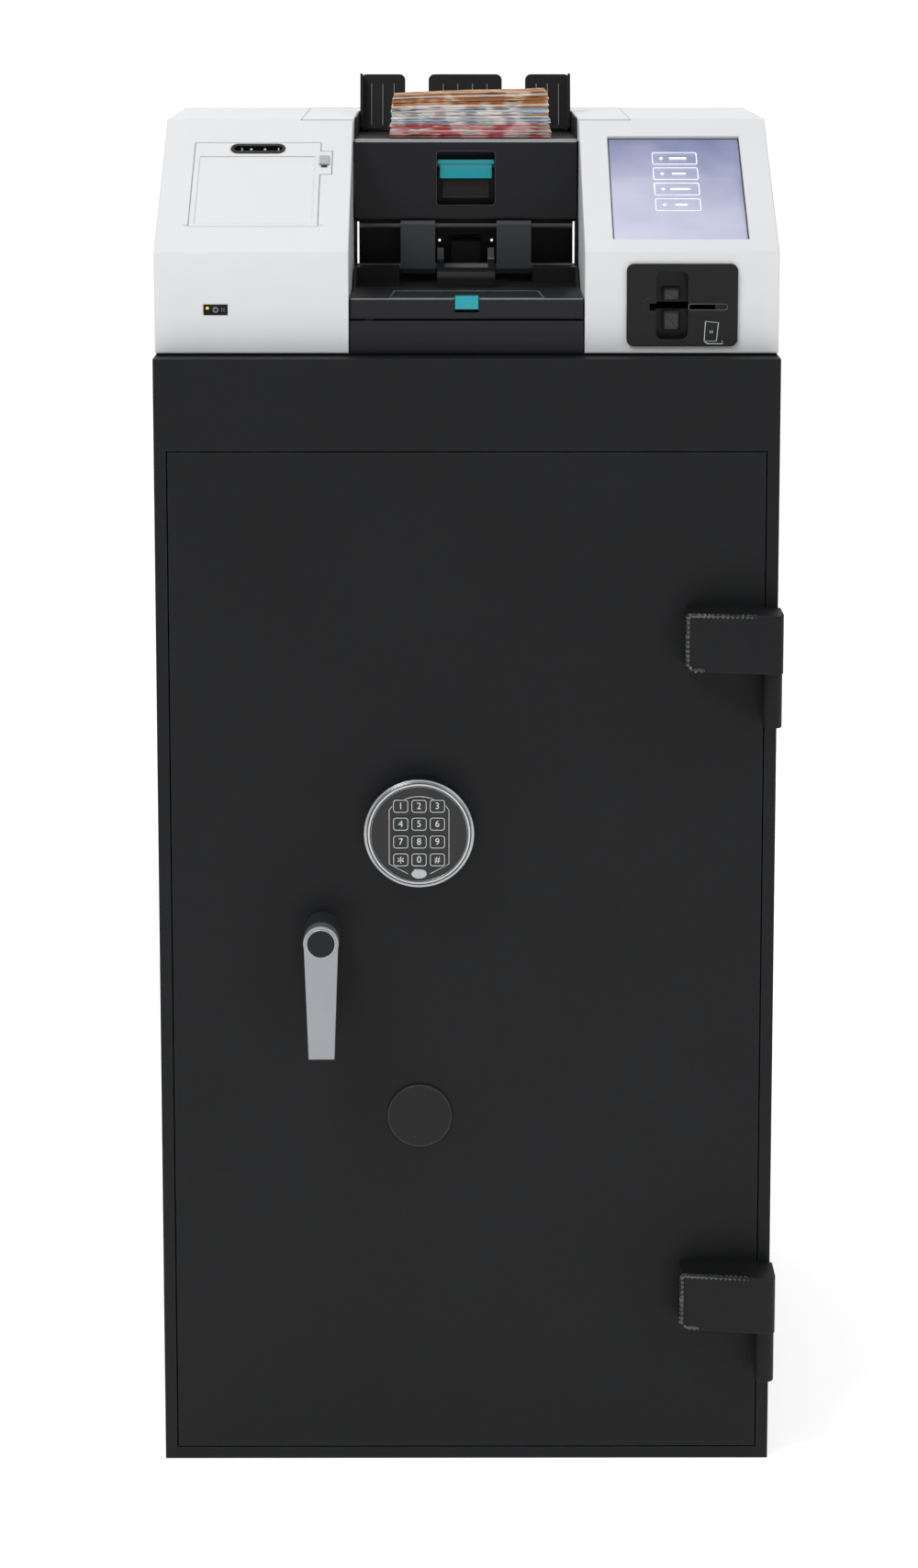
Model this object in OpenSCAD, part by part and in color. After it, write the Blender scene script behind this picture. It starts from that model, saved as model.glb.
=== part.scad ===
// Free-standing cash recycling teller machine: a steel safe with a hinged door,
// an electronic keypad lock and a turn handle, and on it a head with a note
// hopper, a note pocket, a touch screen, a card slot and a receipt printer.
// The origin is on the floor under the middle of the safe. +Z is up and the
// front faces -Y. Depths are measured back from the front plane of the safe.

/* [Safe] */
// Width of the safe and of the head on it
body_w = 562; // [480:2:680]
// Depth of the safe
body_d = 620; // [520:2:750]
// Height of the safe
safe_h = 1034; // [880:2:1250]
// Thickness of the safe's walls
wall_t = 11; // [8:0.5:14]
// Height of the fixed strip over the door
header_h = 83; // [70:1:110]
// Spacing of the floor anchor holes from side to side
anchor_x = 380; // [300:5:390]
// Spacing of the floor anchor holes from front to back
anchor_y = 440; // [360:5:450]
// Diameter of the floor anchor holes
anchor_d = 14; // [10:1:18]

/* [Door] */
// Thickness of the door's outer plate
door_t = 12; // [8:0.5:14]
// Gap round the door
door_gap = 1.2; // [0.8:0.1:2]
// Height of each hinge arm
arm_h = 53; // [40:1:70]
// Distance from the lower hinge to the upper one
hinge_pitch = 617; // [450:1:640]
// Height of the lower hinge arm's underside
hinge_z = 138.5; // [120:1:170]
// Diameter of the hinge pins
pin_d = 10; // [8:0.5:12]
// Travel of the lock bolts
bolt_travel = 18; // [12:1:20]
// Diameter of the lock bolts
bolt_d = 24; // [16:1:25]

/* [Handle] */
// Distance of the handle's axis from the middle of the door
handle_x = 131.5; // [115:1:150]
// Height of the handle's axis
handle_z = 510.3; // [450:1:560]
// Diameter of the handle's hub
hub_d = 32; // [26:1:38]
// How far the handle stands out from the door
hub_l = 51; // [40:1:62]
// Length of the lever from its axis to its end
lever_l = 107.7; // [85:1:130]
// Width of the lever at its end
lever_end_w = 23.2; // [18:0.2:26]
// Diameter of the spindle through the door
spindle_d = 16; // [12:1:20]

/* [Keypad] */
// Height of the keypad's centre
pad_z = 605.5; // [590:1:640]
// Distance of the keypad's centre from the middle of the door
pad_x = 43.2; // [30:1:60]
// Outer diameter of the keypad
pad_d = 99.5; // [99:0.5:112]
// How far the keypad stands out from the door
pad_l = 27; // [24:1:34]
// Width of a key
key_w = 13.9; // [11:0.1:14.4]
// Height of a key
key_h = 12.2; // [10:0.1:14]
// Distance between the keys' centres
key_pitch = 16.55; // [16:0.05:17]
// Travel of a key
key_travel = 0.8; // [0.5:0.1:1]

/* [Head] */
// How far the head's front stands back from the safe's front
head_set = 26; // [20:1:40]
// Height of the head's upright front
nose_h = 93; // [88:1:110]
// Height of the head from the safe's top to its own top
head_h = 204; // [196:1:240]
// Angle of the slanted panels
slope_a = 32.5; // [30:0.5:35]
// Wall of the head's moulded covers
shell_t = 3; // [2.5:0.5:3.5]
// Width of the note module between the two housings
module_w = 212; // [206:1:230]
// Gap between the head's covers
cover_gap = 0.6; // [0.4:0.1:1]

/* [Screen] */
// Width of the screen's opening
screen_w = 123; // [100:1:126]
// Length of the screen's opening up the slope
screen_l = 158.5; // [130:0.5:166]

/* [Card slot] */
// Width of the card bezel
bezel_w = 100; // [88:1:118]
// Height of the card bezel
bezel_h = 74.4; // [70:0.2:80]
// Width of the card slot
slot_w = 59; // [57:0.5:64]
// Height of the card slot
slot_h = 6.2; // [5.2:0.1:8]

/* [Printer] */
// Width of the printer door
flap_w = 117; // [97:1:122]
// Length of the printer door up the slope
flap_l = 129; // [107:1:134]
// Diameter of the paper roll
roll_d = 46; // [30:1:48]

/* [Notes] */
// Length of a banknote
note_l = 154; // [130:1:158]
// Width of a banknote
note_w = 74; // [62:1:78]
// Height of the loaded stack of notes
stack_h = 39; // [10:1:46]
// Travel of each side guide
guide_travel = 16; // [8:1:17]

/* [Hidden] */
$fn = 64;
eps = 1;
run = 0.05;          // radial clearance of a shaft that turns in its bore
slip = 0.3;          // clearance of a piece that lies loosely beside another

// Colours
c_steel = "#2b2b2d";
c_black = "#303234";
c_dark = "#1c1d1f";
c_white = "#e9eaec";
c_metal = "#b9bcc0";
c_teal = "#12a5a8";

// Safe
front_y = -body_d / 2;
back_y = body_d / 2;
side_x = body_w / 2;
door_w = body_w - 2 * wall_t - 2 * door_gap;
door_z0 = wall_t + door_gap;
door_z1 = safe_h - header_h - door_gap;
jamb_w = 15;                       // width of the strips that the bolts lock behind
jamb_t = 8;
jamb_y = front_y + door_t + 2;
front_t = 12;                      // thickness of the strip over the door
cable_d = 10;                      // hole for the keypad's cable
slot_x = 90;                       // half length of the note slot in the safe's top
slot_y0 = front_y + 300;           // front edge of that slot
slot_d = 44;

// Hinges
hinge_x = side_x - 6;              // the pins stand just inside the safe's side
hinge_y = front_y - 19.3;
arm_w = 86;
arm_out = side_x + 2;              // outer side of the hinge arms
arm_front_l = 30;                  // how far an arm stands out at its free end
arm_front_r = 45;                  // and at the pin
barrel_d = 17.5;
barrel_h = 50;
barrel_floor = 4;                  // closed bottom of a barrel under its pin
ring_h = 2.5;
ring_d = 17.5;

// Inner side of the door
pan_x0 = -door_w / 2 + 29;
pan_x1 = door_w / 2 - 54;
pan_z0 = door_z0 + 48;
pan_z1 = door_z1 - 50;
pan_d = 38;
pan_t = 1.5;
bolt_y = front_y + door_t + pan_d / 2 + 4;
bolt_x0 = pan_x0 - 8;              // tips of the drawn-back bolts
bar_x0 = pan_x0 + pan_t + 5 + bolt_travel + 1.5;
bar_w = 18;
bar_t = 6;
bar_y = front_y + 24;
bolt_zs = [pan_z0 + 100, (pan_z0 + pan_z1) / 2, pan_z1 - 100];
cam_r = bolt_travel / sqrt(2);     // a quarter turn of the pin moves the bar by the travel
cam_y = front_y + 16;
cam_t = 6;
cam_pin_d = 6;
cam_slack = 0.6;
lever_t = 14;
cap_d = 25;
cover_drop = 272.5;                // distance of the round cover below the keypad
cover_disc_d = 60;

// Head
head_y = front_y + head_set;
deck_t = 2.5;
base_z = safe_h + deck_t;
nose_z = safe_h + nose_h;
top_z = safe_h + head_h;
bay_y = front_y + 200;             // front of the hood over the note module
hinge_uy = front_y + 430;          // axis of the upper unit
hinge_uz = top_z - 8;
hood_r = 8;                        // rounding of the hood's back edge about that axis
cover_y = hinge_uy + hood_r + 1;   // joint between the housings and the rear cover
rear_y = front_y + 594;
rear_z = safe_h + 100;
pod_x0 = module_w / 2 + 0.3;       // inner face of each housing
hood_x = 154.5;                    // outer side of the hood
pod_mid = (pod_x0 + side_x) / 2;   // middle of each housing
mid_x = module_w / 2 - 1.2;        // half width of the pieces between the housings

// Screen, on the slope of the right housing
screen_u = 20.3;                   // start of the opening up the slope
glass_t = 1.6;
glass_lap = 4;

// Card slot
bezel_z = safe_h + 46;
bezel_r = 6.6;
bezel_proud = 2.5;
bezel_back = 24;
thumb_w = 28.6;                    // recess for finger and thumb across the slot
thumb_h = 61.7;
thumb_x = -9.2;
slot_dz = -1.5;

// Sensor window under the printer
sensor_x = 32.2;                   // its distance from the housing's middle
sensor_drop = 4.4;                 // and below the card bezel's middle

// Printer, on the slope of the left housing
flap_u = 39.5;
flap_gap = 0.4;
ear_w = 14.2;
ear_u = 79.5;                      // start of the latch ear above the printer door's lower edge
ear_l = 36;
flap_pin_d = 2.4;
latch_travel = 5;
mouth_w = 51;
mouth_h = 15;
bin_t = 2;
bin_depth = 55;

// Note module
panel_z0 = safe_h + 110;
panel_y = front_y + 200.4;
panel_t = 3;
floor_z = top_z - 18.6;            // top of the hopper floor
floor_t = 3.4;
floor_y1 = front_y + 346;
grip_w = 55;                       // recess round the release paddle
grip_z0 = safe_h + 123;
grip_z1 = safe_h + 173.6;
grip_depth = 19;
latch_y = panel_y + 15;            // axis of the release paddle
latch_z = safe_h + 160;
tray_z0 = safe_h + 33;
tray_z1 = safe_h + 51.5;
tray_y = front_y + 30;
tray_d = 98;
tray_pin_z = tray_z0 + 3;
tray_pin_y = tray_y + 7;
pocket_y1 = front_y + 250;
paddle_y = front_y + 192;
paddle_z = safe_h + 104;
wheel_y = front_y + 224;
wheel_z = safe_h + 62;
pick_y = front_y + 244;
pick_d = 26;
pick_z = floor_z + slip - pick_d / 2;
stack_y = front_y + 215;

// A rectangle with round corners, centred on the origin
module round_rect(w, h, r) {
    square([w - 2 * r, h], center = true);
    square([w, h - 2 * r], center = true);
    for (x = [-1, 1], y = [-1, 1])
        translate([x * (w / 2 - r), y * (h / 2 - r)]) circle(r);
}

// An upright outline (x, z) made into a plate from depth y0 to y1
module plate_y(y0, y1) {
    translate([0, y1, 0]) rotate([90, 0, 0]) linear_extrude(y1 - y0) children();
}

// A side outline (y, z) made into a solid from x0 to x1
module plate_x(x0, x1) {
    translate([x0, 0, 0]) rotate([90, 0, 90]) linear_extrude(x1 - x0) children();
}

// A block between two corners
module block(low, high) {
    translate(low) cube(high - low);
}

// A rod along X and a rod along Y
module rod_x(x0, x1, d) {
    translate([x0, 0, 0]) rotate([0, 90, 0]) cylinder(h = x1 - x0, d = d);
}
module rod_y(y0, y1, d) {
    translate([0, y1, 0]) rotate([90, 0, 0]) cylinder(h = y1 - y0, d = d);
}

// Things on the slanted panels: x across, y up the slope, z out of it
module on_slope() {
    translate([0, head_y, nose_z]) rotate([slope_a, 0, 0]) children();
}

// Both sides of what is drawn for +X
module both_sides() {
    children();
    mirror([1, 0, 0]) children();
}

// ---- Safe ----

// Through holes that the note chute passes, in the safe's top and in the deck over it
module chute_slot(z0, z1) {
    block([-slot_x, slot_y0, z0], [slot_x, slot_y0 + slot_d, z1]);
}

module safe_body() {
    inner_x = side_x - wall_t;
    color(c_steel) difference() {
        union() {
            difference() {
                block([-side_x, front_y, 0], [side_x, back_y, safe_h]);
                block([-inner_x, front_y + front_t, wall_t], [inner_x, back_y - wall_t, safe_h - wall_t]);
            }
            both_sides()
                block([inner_x - jamb_w, jamb_y, wall_t - eps],
                    [inner_x + eps, jamb_y + jamb_t, safe_h - wall_t + eps]);
        }
        block([-inner_x, front_y - eps, wall_t], [inner_x, front_y + front_t + eps, safe_h - header_h]);
        for (x = [-1, 1], y = [-1, 1])
            translate([x * anchor_x / 2, y * anchor_y / 2, -eps])
                cylinder(h = wall_t + 2 * eps, d = anchor_d);
        chute_slot(safe_h - wall_t - eps, safe_h + eps);
    }
}

// Heights of the undersides of both hinge arms
arm_zs = [hinge_z, hinge_z + hinge_pitch];
ring_gap = 0.1;
barrel_top = -ring_gap - ring_h;      // top of a barrel, from its arm's underside

module hinge_barrels() {
    color(c_steel) for (z = arm_zs) difference() {
        union() {
            translate([hinge_x, hinge_y, z + barrel_top - barrel_h]) cylinder(h = barrel_h, d = barrel_d);
            block([hinge_x - 4.5, hinge_y, z + barrel_top - barrel_h], [side_x, front_y, z + barrel_top]);
        }
        translate([hinge_x, hinge_y, z + barrel_top - barrel_h + barrel_floor])
            cylinder(h = barrel_h, d = pin_d + 2 * run);
    }
}

module hinge_pins() {
    color(c_metal) for (z = arm_zs) translate([hinge_x, hinge_y, z]) {
        pin_z0 = barrel_top - barrel_h + barrel_floor;
        translate([0, 0, pin_z0]) cylinder(h = arm_h - 10 - pin_z0, d = pin_d);
        translate([0, 0, barrel_top]) difference() {
            cylinder(h = ring_h, d = ring_d);
            translate([0, 0, -eps]) cylinder(h = ring_h + 2 * eps, d = pin_d + 2 * run);
        }
    }
}

// ---- Inside the safe ----

cassette_n = 4;
cassette_w = 236;
cassette_h = (safe_h - 262) / cassette_n;
cassette_y0 = front_y + 92;
cassette_y1 = back_y - 110;
rack_t = 2.5;
rack_x = cassette_w / 2 + 2;
shelf_t = 2;
shelf_pitch = cassette_h + 10;
shelf_z0 = wall_t + 20;

function shelf_z(i) = shelf_z0 + i * shelf_pitch;

module cassette_rack() {
    color(c_metal) {
        both_sides()
            block([rack_x, cassette_y0 - 4, wall_t],
                [rack_x + rack_t, cassette_y1 + 10, shelf_z(cassette_n) + shelf_t]);
        for (i = [0:cassette_n])
            difference() {
                block([-rack_x, cassette_y0 - 4, shelf_z(i)],
                    [rack_x, cassette_y1 + 10, shelf_z(i) + shelf_t]);
                if (i == cassette_n) chute_slot(shelf_z(i) - eps, shelf_z(i) + shelf_t + eps);
            }
    }
}

handle_gap = 16;                      // finger room behind a cassette's handle
grip_x = 48;
grip_t = 6;

module note_cassettes() {
    color(c_black) for (i = [0:cassette_n - 1]) translate([0, 0, shelf_z(i) + shelf_t]) {
        difference() {
            block([-cassette_w / 2, cassette_y0, 0], [cassette_w / 2, cassette_y1, cassette_h]);
            translate([0, 0, cassette_h - 22])
                block([-cassette_w / 2 - eps, cassette_y0 - eps, 0],
                    [cassette_w / 2 + eps, cassette_y0 + 1.5, 2]);
        }
        both_sides()
            block([grip_x, cassette_y0 - handle_gap - grip_t, cassette_h / 2 - 9],
                [grip_x + 8, cassette_y0 + eps, cassette_h / 2 + 9]);
        block([-grip_x - 8, cassette_y0 - handle_gap - grip_t, cassette_h / 2 - 9],
            [grip_x + 8, cassette_y0 - handle_gap, cassette_h / 2 + 9]);
    }
}

chute_x = slot_x - 4;
chute_wall = 2;
transport_y0 = front_y + 258;
transport_y1 = front_y + 420;
transport_z1 = safe_h + 140;
roller_zs = [safe_h + 30, safe_h + 80, safe_h + 124];

// The transport that carries notes between the head and the cassettes
module note_transport() {
    y0 = slot_y0 + 4;
    y1 = slot_y0 + slot_d - 4;
    z0 = shelf_z(cassette_n) - 2;
    z1 = safe_h + 70;
    color(c_metal) {
        difference() {
            block([-chute_x, y0, z0], [chute_x, y1, z1]);
            block([-chute_x + chute_wall, y0 + chute_wall, z0 - eps],
                [chute_x - chute_wall, y1 - chute_wall, z1 + eps]);
        }
        both_sides()
            block([chute_x, transport_y0, base_z],
                [chute_x + chute_wall, transport_y1, transport_z1]);
        for (y = [transport_y0 + 14, transport_y1 - 14], z = roller_zs)
            translate([0, y, z]) rod_x(-chute_x - eps, chute_x + eps, 8);
    }
    color(c_dark) for (y = [transport_y0 + 14, transport_y1 - 14], z = roller_zs, x = [-56, -20, 20, 56])
        translate([x, y, z]) rod_x(-6, 6, 20);
}

// ---- Door ----

module door_plate() {
    color(c_steel) difference() {
        block([-door_w / 2, front_y, door_z0], [door_w / 2, front_y + door_t, door_z1]);
        translate([-handle_x, 0, handle_z])
            rod_y(front_y - eps, front_y + door_t + eps, spindle_d + 2 * run);
        translate([-pad_x, 0, pad_z]) rod_y(front_y - eps, front_y + door_t + eps, cable_d);
    }
}

// The pressed tray behind the door plate that holds the bolt work, with its bolt guides
module door_pan() {
    y0 = front_y + door_t;
    color(c_metal) difference() {
        union() {
            difference() {
                block([pan_x0, y0, pan_z0], [pan_x1, y0 + pan_d, pan_z1]);
                block([pan_x0 + pan_t, y0 - eps, pan_z0 + pan_t],
                    [pan_x1 - pan_t, y0 + pan_d - pan_t, pan_z1 - pan_t]);
            }
            for (z = bolt_zs)
                block([pan_x0, y0 + 4, z - bolt_d / 2 - 6],
                    [pan_x0 + pan_t + 5, y0 + pan_d - pan_t + eps / 2, z + bolt_d / 2 + 6]);
        }
        for (z = bolt_zs)
            translate([0, bolt_y, z]) rod_x(pan_x0 - eps, pan_x0 + pan_t + 5 + eps, bolt_d + 2 * run);
    }
}

// Plan of a hinge arm: its front leans out towards the pin and turns a round corner there
module arm_outline() {
    corner_r = 8;
    x0 = arm_out - arm_w;
    lean = atan((arm_front_r - arm_front_l) / arm_w);
    cx = arm_out - corner_r;
    cy = front_y - arm_front_l - (cx - x0) * tan(lean) + corner_r / cos(lean);
    swing_r = front_y - 0.5 - hinge_y;
    difference() {
        union() {
            polygon([[x0, front_y], [x0, front_y - arm_front_l],
                [cx - corner_r * sin(lean), cy - corner_r * cos(lean)], [cx, cy], [arm_out, cy],
                [arm_out, front_y - 0.5], [door_w / 2, front_y - 0.5], [door_w / 2, front_y]]);
            translate([cx, cy]) circle(corner_r);
        }
        translate([hinge_x, hinge_y]) difference() {
            square([arm_out, swing_r + eps]);
            circle(swing_r);
        }
    }
}

module hinge_arms() {
    color(c_steel) for (z = arm_zs) translate([0, 0, z]) difference() {
        linear_extrude(arm_h) arm_outline();
        translate([hinge_x, hinge_y, -eps]) cylinder(h = arm_h - 8 + eps, d = pin_d + 2 * run);
        translate([hinge_x, hinge_y, arm_h - 1.5]) cylinder(h = 2, d = 3);
    }
}

module cover_disc() {
    color(c_dark) translate([-pad_x, 0, pad_z - cover_drop]) {
        rod_y(front_y - 1.6, front_y, cover_disc_d);
        rod_y(front_y - 2.4, front_y - 1.6, cover_disc_d - 1.6);
    }
}

// ---- Keypad ----

face_d = pad_d - 13;
face_y = front_y - pad_l + 1.2;       // front of the keypad's face
face_t = 3;
board_y = face_y + 5;
board_d = face_d - 5;

function key_place(column, row) = [-pad_x + column * key_pitch, pad_z + (1.5 - row) * key_pitch + 1];

module keypad_bezel() {
    color(c_metal) translate([-pad_x, 0, pad_z]) difference() {
        union() {
            rod_y(front_y - 16, front_y, pad_d - 1.5);
            rod_y(front_y - pad_l + 2, front_y - 15.5, pad_d);
            rod_y(front_y - pad_l, front_y - pad_l + 3, pad_d - 4);
        }
        rod_y(front_y - pad_l - eps, face_y + face_t, face_d + 0.3);
        rod_y(face_y, board_y + 1.6, board_d + 0.3);
        rod_y(face_y, front_y - 3, board_d - 6);
        rod_y(front_y - 4, front_y + eps, cable_d);
    }
}

module key_windows() {
    for (column = [-1:1], row = [0:3]) {
        place = key_place(column, row);
        translate([place[0], 0, place[1]]) plate_y(face_y - eps, face_y + face_t + eps)
            round_rect(key_w + 0.4, key_h + 0.4, 2.8);
    }
}

module keypad_face() {
    color(c_dark) difference() {
        translate([-pad_x, 0, pad_z]) rod_y(face_y, face_y + face_t, face_d);
        key_windows();
    }
}

// Circuit board with a rubber dome under each key
module keypad_board() {
    color("#1f5a3a") translate([-pad_x, 0, pad_z]) rod_y(board_y, board_y + 1.6, board_d);
    color(c_dark) for (column = [-1:1], row = [0:3]) {
        place = key_place(column, row);
        translate([place[0], 0, place[1]]) rod_y(face_y + face_t + key_travel + 0.3, board_y, 6);
    }
}

module key(column, row) {
    place = key_place(column, row);
    color(c_dark) translate([place[0], 0, place[1]])
        plate_y(face_y - 1, face_y + face_t) round_rect(key_w, key_h, 2.6);
}

// ---- Handle and bolt work ----

// The lever hangs down from its hub and narrows towards its end
module handle_lever() {
    y0 = front_y - hub_l;
    color(c_metal) translate([-handle_x, 0, handle_z]) difference() {
        plate_y(y0, y0 + lever_t) {
            circle(d = hub_d);
            polygon([[-lever_end_w / 2, -lever_l], [lever_end_w / 2, -lever_l],
                [hub_d / 2 - 0.4, 3], [-hub_d / 2 + 0.4, 3]]);
        }
        rod_y(y0 - eps, y0 + 2, cap_d + 0.2);
    }
}

module handle_cap() {
    color(c_dark) translate([-handle_x, 0, handle_z])
        rod_y(front_y - hub_l - 1, front_y - hub_l + 2, cap_d);
}

// Hub, spindle and the cam behind the door, whose pin drives the bolt bar
module handle_spindle() {
    color(c_dark) translate([-handle_x, 0, handle_z]) {
        rod_y(front_y - hub_l + lever_t, front_y - slip, hub_d);
        rod_y(front_y - slip - eps, cam_y + eps, spindle_d);
        rod_y(cam_y, cam_y + cam_t, 2 * cam_r + 12);
        translate([cam_r * cos(45), 0, -cam_r * sin(45)]) rod_y(cam_y, cam_y + cam_t + 9, cam_pin_d);
    }
}

// Upright bar with its bolts, and the arm whose slot the cam's pin moves in
module bolt_bar() {
    arm_x1 = -handle_x + cam_r + 10;
    slot_half = cam_pin_d / 2 + cam_slack;
    pin_x = -handle_x + cam_r * cos(45);
    color(c_metal) {
        difference() {
            union() {
                block([bar_x0, bar_y, bolt_zs[0] - 20],
                    [bar_x0 + bar_w, bar_y + bar_t, bolt_zs[2] + 20]);
                block([bar_x0 + eps, bar_y, handle_z - cam_r - 10],
                    [arm_x1, bar_y + bar_t, handle_z + 2]);
            }
            block([pin_x - slot_half, bar_y - eps, handle_z - cam_r - slot_half],
                [pin_x + slot_half, bar_y + bar_t + eps, handle_z - cam_r * sin(45) + slot_half]);
        }
        for (z = bolt_zs) translate([0, bolt_y, z]) rod_x(bolt_x0, bar_x0 + bar_w, bolt_d);
    }
}

// Case of the electronic lock behind the keypad
module lock_case() {
    y0 = front_y + door_t;
    color(c_metal) translate([-pad_x, 0, pad_z])
        plate_y(y0, y0 + 26) difference() {
            round_rect(60, 86, 5);
            for (z = [-1, 1]) translate([0, 36 * z]) circle(d = 6);
        }
}

// ---- Head: base and covers ----

post_x = 147;                         // plates that carry the upper unit's hinge
post_t = 3;
hood_t = 2.5;
hood_pin_d = 8;

// Base plate, and the two hinge plates with their pins
module head_deck() {
    uy = hinge_uy;
    color(c_metal) {
        difference() {
            block([-side_x + 1.5, head_y + 1.5, safe_h], [side_x - 1.5, rear_y - 1.5, base_z]);
            chute_slot(safe_h - eps, base_z + eps);
        }
        both_sides() {
            plate_x(post_x, post_x + post_t) {
                polygon([[uy - 90, base_z - eps], [uy + 1, base_z - eps], [uy + 1, hinge_uz],
                    [uy - 5, hinge_uz], [uy - 30, hinge_uz - 90], [uy - 90, base_z + 30]]);
                translate([uy, hinge_uz]) circle(5);
            }
            translate([0, uy, hinge_uz]) rod_x(post_x + eps, hood_x - 0.3, hood_pin_d);
        }
    }
}

// Side outline of a housing, drawn in by t on the front, the slope and the top
function pod_outline(t) = [
    [head_y + t, base_z - (t > 0 ? eps : 0)],
    [head_y + t, nose_z + t * tan(slope_a) - t / cos(slope_a)],
    [head_y + (top_z - t - nose_z + t / cos(slope_a)) / tan(slope_a), top_z - t],
    [cover_y - cover_gap + (t > 0 ? eps : 0), top_z - t],
    [cover_y - cover_gap + (t > 0 ? eps : 0), base_z - (t > 0 ? eps : 0)]];

// The bay between the housings that the hood covers, grown by t
module hood_bay(t) {
    x = hood_x + cover_gap + t;
    block([-x, bay_y - 1 - t, base_z - 2 * eps], [x, back_y, top_z + eps]);
}

// A housing shell on the +X side, open below and behind
module pod_shell() {
    difference() {
        plate_x(pod_x0, side_x) polygon(pod_outline(0));
        hood_bay(0);
        difference() {
            plate_x(pod_x0 + shell_t, side_x - shell_t) polygon(pod_outline(shell_t));
            hood_bay(shell_t);
        }
    }
}

ear_x = flap_w / 2 - 3.4;             // latch ear beside the printer door, from its middle

// Outline of the printer door and its latch ear, grown by g
module flap_outline(g) {
    translate([-flap_w / 2 - g, flap_u - g]) square([flap_w + 2 * g, flap_l + 2 * g]);
    translate([ear_x - g, flap_u + ear_u - g]) square([ear_w + 2 * g, ear_l + 2 * g]);
}

module left_housing() {
    boss_x = flap_w / 2 + flap_gap;
    color(c_white) difference() {
        union() {
            difference() {
                mirror([1, 0, 0]) pod_shell();
                on_slope() translate([-pod_mid, 0, -shell_t - eps])
                    linear_extrude(shell_t + 2 * eps) flap_outline(flap_gap);
            }
            on_slope() translate([-pod_mid, flap_u + 1.5, 0]) both_sides()
                block([boss_x, -5, -7], [boss_x + 5, 5, -shell_t + eps]);
        }
        on_slope() translate([-pod_mid, flap_u + 1.5, -1.5])
            rod_x(-boss_x - 4.5, boss_x + 4.5, flap_pin_d + 2 * run);
        translate([-pod_mid - sensor_x, 0, bezel_z - sensor_drop])
            plate_y(head_y - eps, head_y + shell_t + eps) square([21.9, 9.9], center = true);
    }
}

module sensor_window() {
    color(c_dark) translate([-pod_mid - sensor_x, 0, bezel_z - sensor_drop]) {
        plate_y(head_y + 0.5, head_y + shell_t) square([21.5, 9.5], center = true);
        plate_y(head_y + shell_t, head_y + 9) square([26, 14], center = true);
    }
}

module right_housing() {
    color(c_white) difference() {
        pod_shell();
        on_slope() translate([pod_mid, 0, 0])
            block([-screen_w / 2, screen_u, -shell_t - eps], [screen_w / 2, screen_u + screen_l, eps]);
        translate([pod_mid, 0, bezel_z]) plate_y(head_y - eps, head_y + shell_t + eps)
            square([bezel_w - 7.6, bezel_h - 7.6], center = true);
    }
}

module screen_glass() {
    color(c_dark) on_slope() translate([pod_mid, 0, -shell_t - glass_t])
        block([-screen_w / 2 - glass_lap, screen_u - glass_lap, 0],
            [screen_w / 2 + glass_lap, screen_u + screen_l + glass_lap, glass_t]);
}

module display_module() {
    color(c_metal) on_slope() translate([pod_mid, 0, -shell_t - glass_t - 10])
        block([-screen_w / 2 - 2, screen_u - 2, 0], [screen_w / 2 + 2, screen_u + screen_l + 2, 10]);
}

// Bezel of the card slot: a raised rim round the slot, crossed by a recess for finger and thumb
module card_bezel() {
    color(c_dark) translate([pod_mid, 0, bezel_z]) difference() {
        union() {
            plate_y(head_y - bezel_proud, head_y) round_rect(bezel_w, bezel_h, bezel_r);
            plate_y(head_y - bezel_proud - 1.2, head_y - bezel_proud + eps)
                translate([0, slot_dz]) round_rect(slot_w + 13.3, slot_h + 9.8, 7.9);
            plate_y(head_y - eps, head_y + bezel_back) square([bezel_w - 8, bezel_h - 8], center = true);
        }
        plate_y(head_y - 3 * bezel_proud, head_y + bezel_back - 10)
            translate([thumb_x, 0]) round_rect(thumb_w, thumb_h, 6);
        plate_y(head_y - 3 * bezel_proud, head_y + bezel_back + eps)
            translate([0, slot_dz]) square([slot_w, slot_h], center = true);
    }
}

module card_reader() {
    y0 = head_y + bezel_back;
    color(c_metal) translate([pod_mid, 0, bezel_z + slot_dz]) difference() {
        plate_y(y0, y0 + 92) square([78, 46], center = true);
        plate_y(y0 - eps, y0 + 60) square([slot_w, slot_h], center = true);
    }
}

// Bin for the paper roll under the printer door, with the rod that the roll turns on
bin_u0 = flap_u + 8;
bin_u1 = flap_u + 121;
roll_u = flap_u + 62;
roll_z = -shell_t - 4 - roll_d / 2;
roll_bore = 13;
roll_w = 78;

module printer_frame() {
    bin_x = flap_w / 2 + 1;
    color(c_black) on_slope() translate([-pod_mid, 0, 0]) {
        difference() {
            block([-bin_x - bin_t, bin_u0, -shell_t - bin_depth], [bin_x + bin_t, bin_u1, -shell_t]);
            block([-bin_x, bin_u0 + bin_t, -shell_t - bin_depth + bin_t], [bin_x, bin_u1 - bin_t, 0]);
            block([bin_x - eps, flap_u + ear_u - 8, -shell_t - 5], [bin_x + 2 * bin_t, bin_u1 + eps, 0]);
        }
        translate([0, roll_u, roll_z]) rod_x(-bin_x - eps, bin_x + eps, roll_bore - 2 * run);
    }
}

module paper_roll() {
    color("white") on_slope() translate([-pod_mid, roll_u, roll_z]) difference() {
        rod_x(-roll_w / 2, roll_w / 2, roll_d);
        rod_x(-roll_w / 2 - eps, roll_w / 2 + eps, roll_bore);
    }
}

mouth_u = flap_l - 9.4;               // middle of the receipt mouth, from the door's lower edge
stem_w = 5.2;
stem_l = 9;
stem_u = ear_u + ear_l / 2 + latch_travel / 2;

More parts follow.
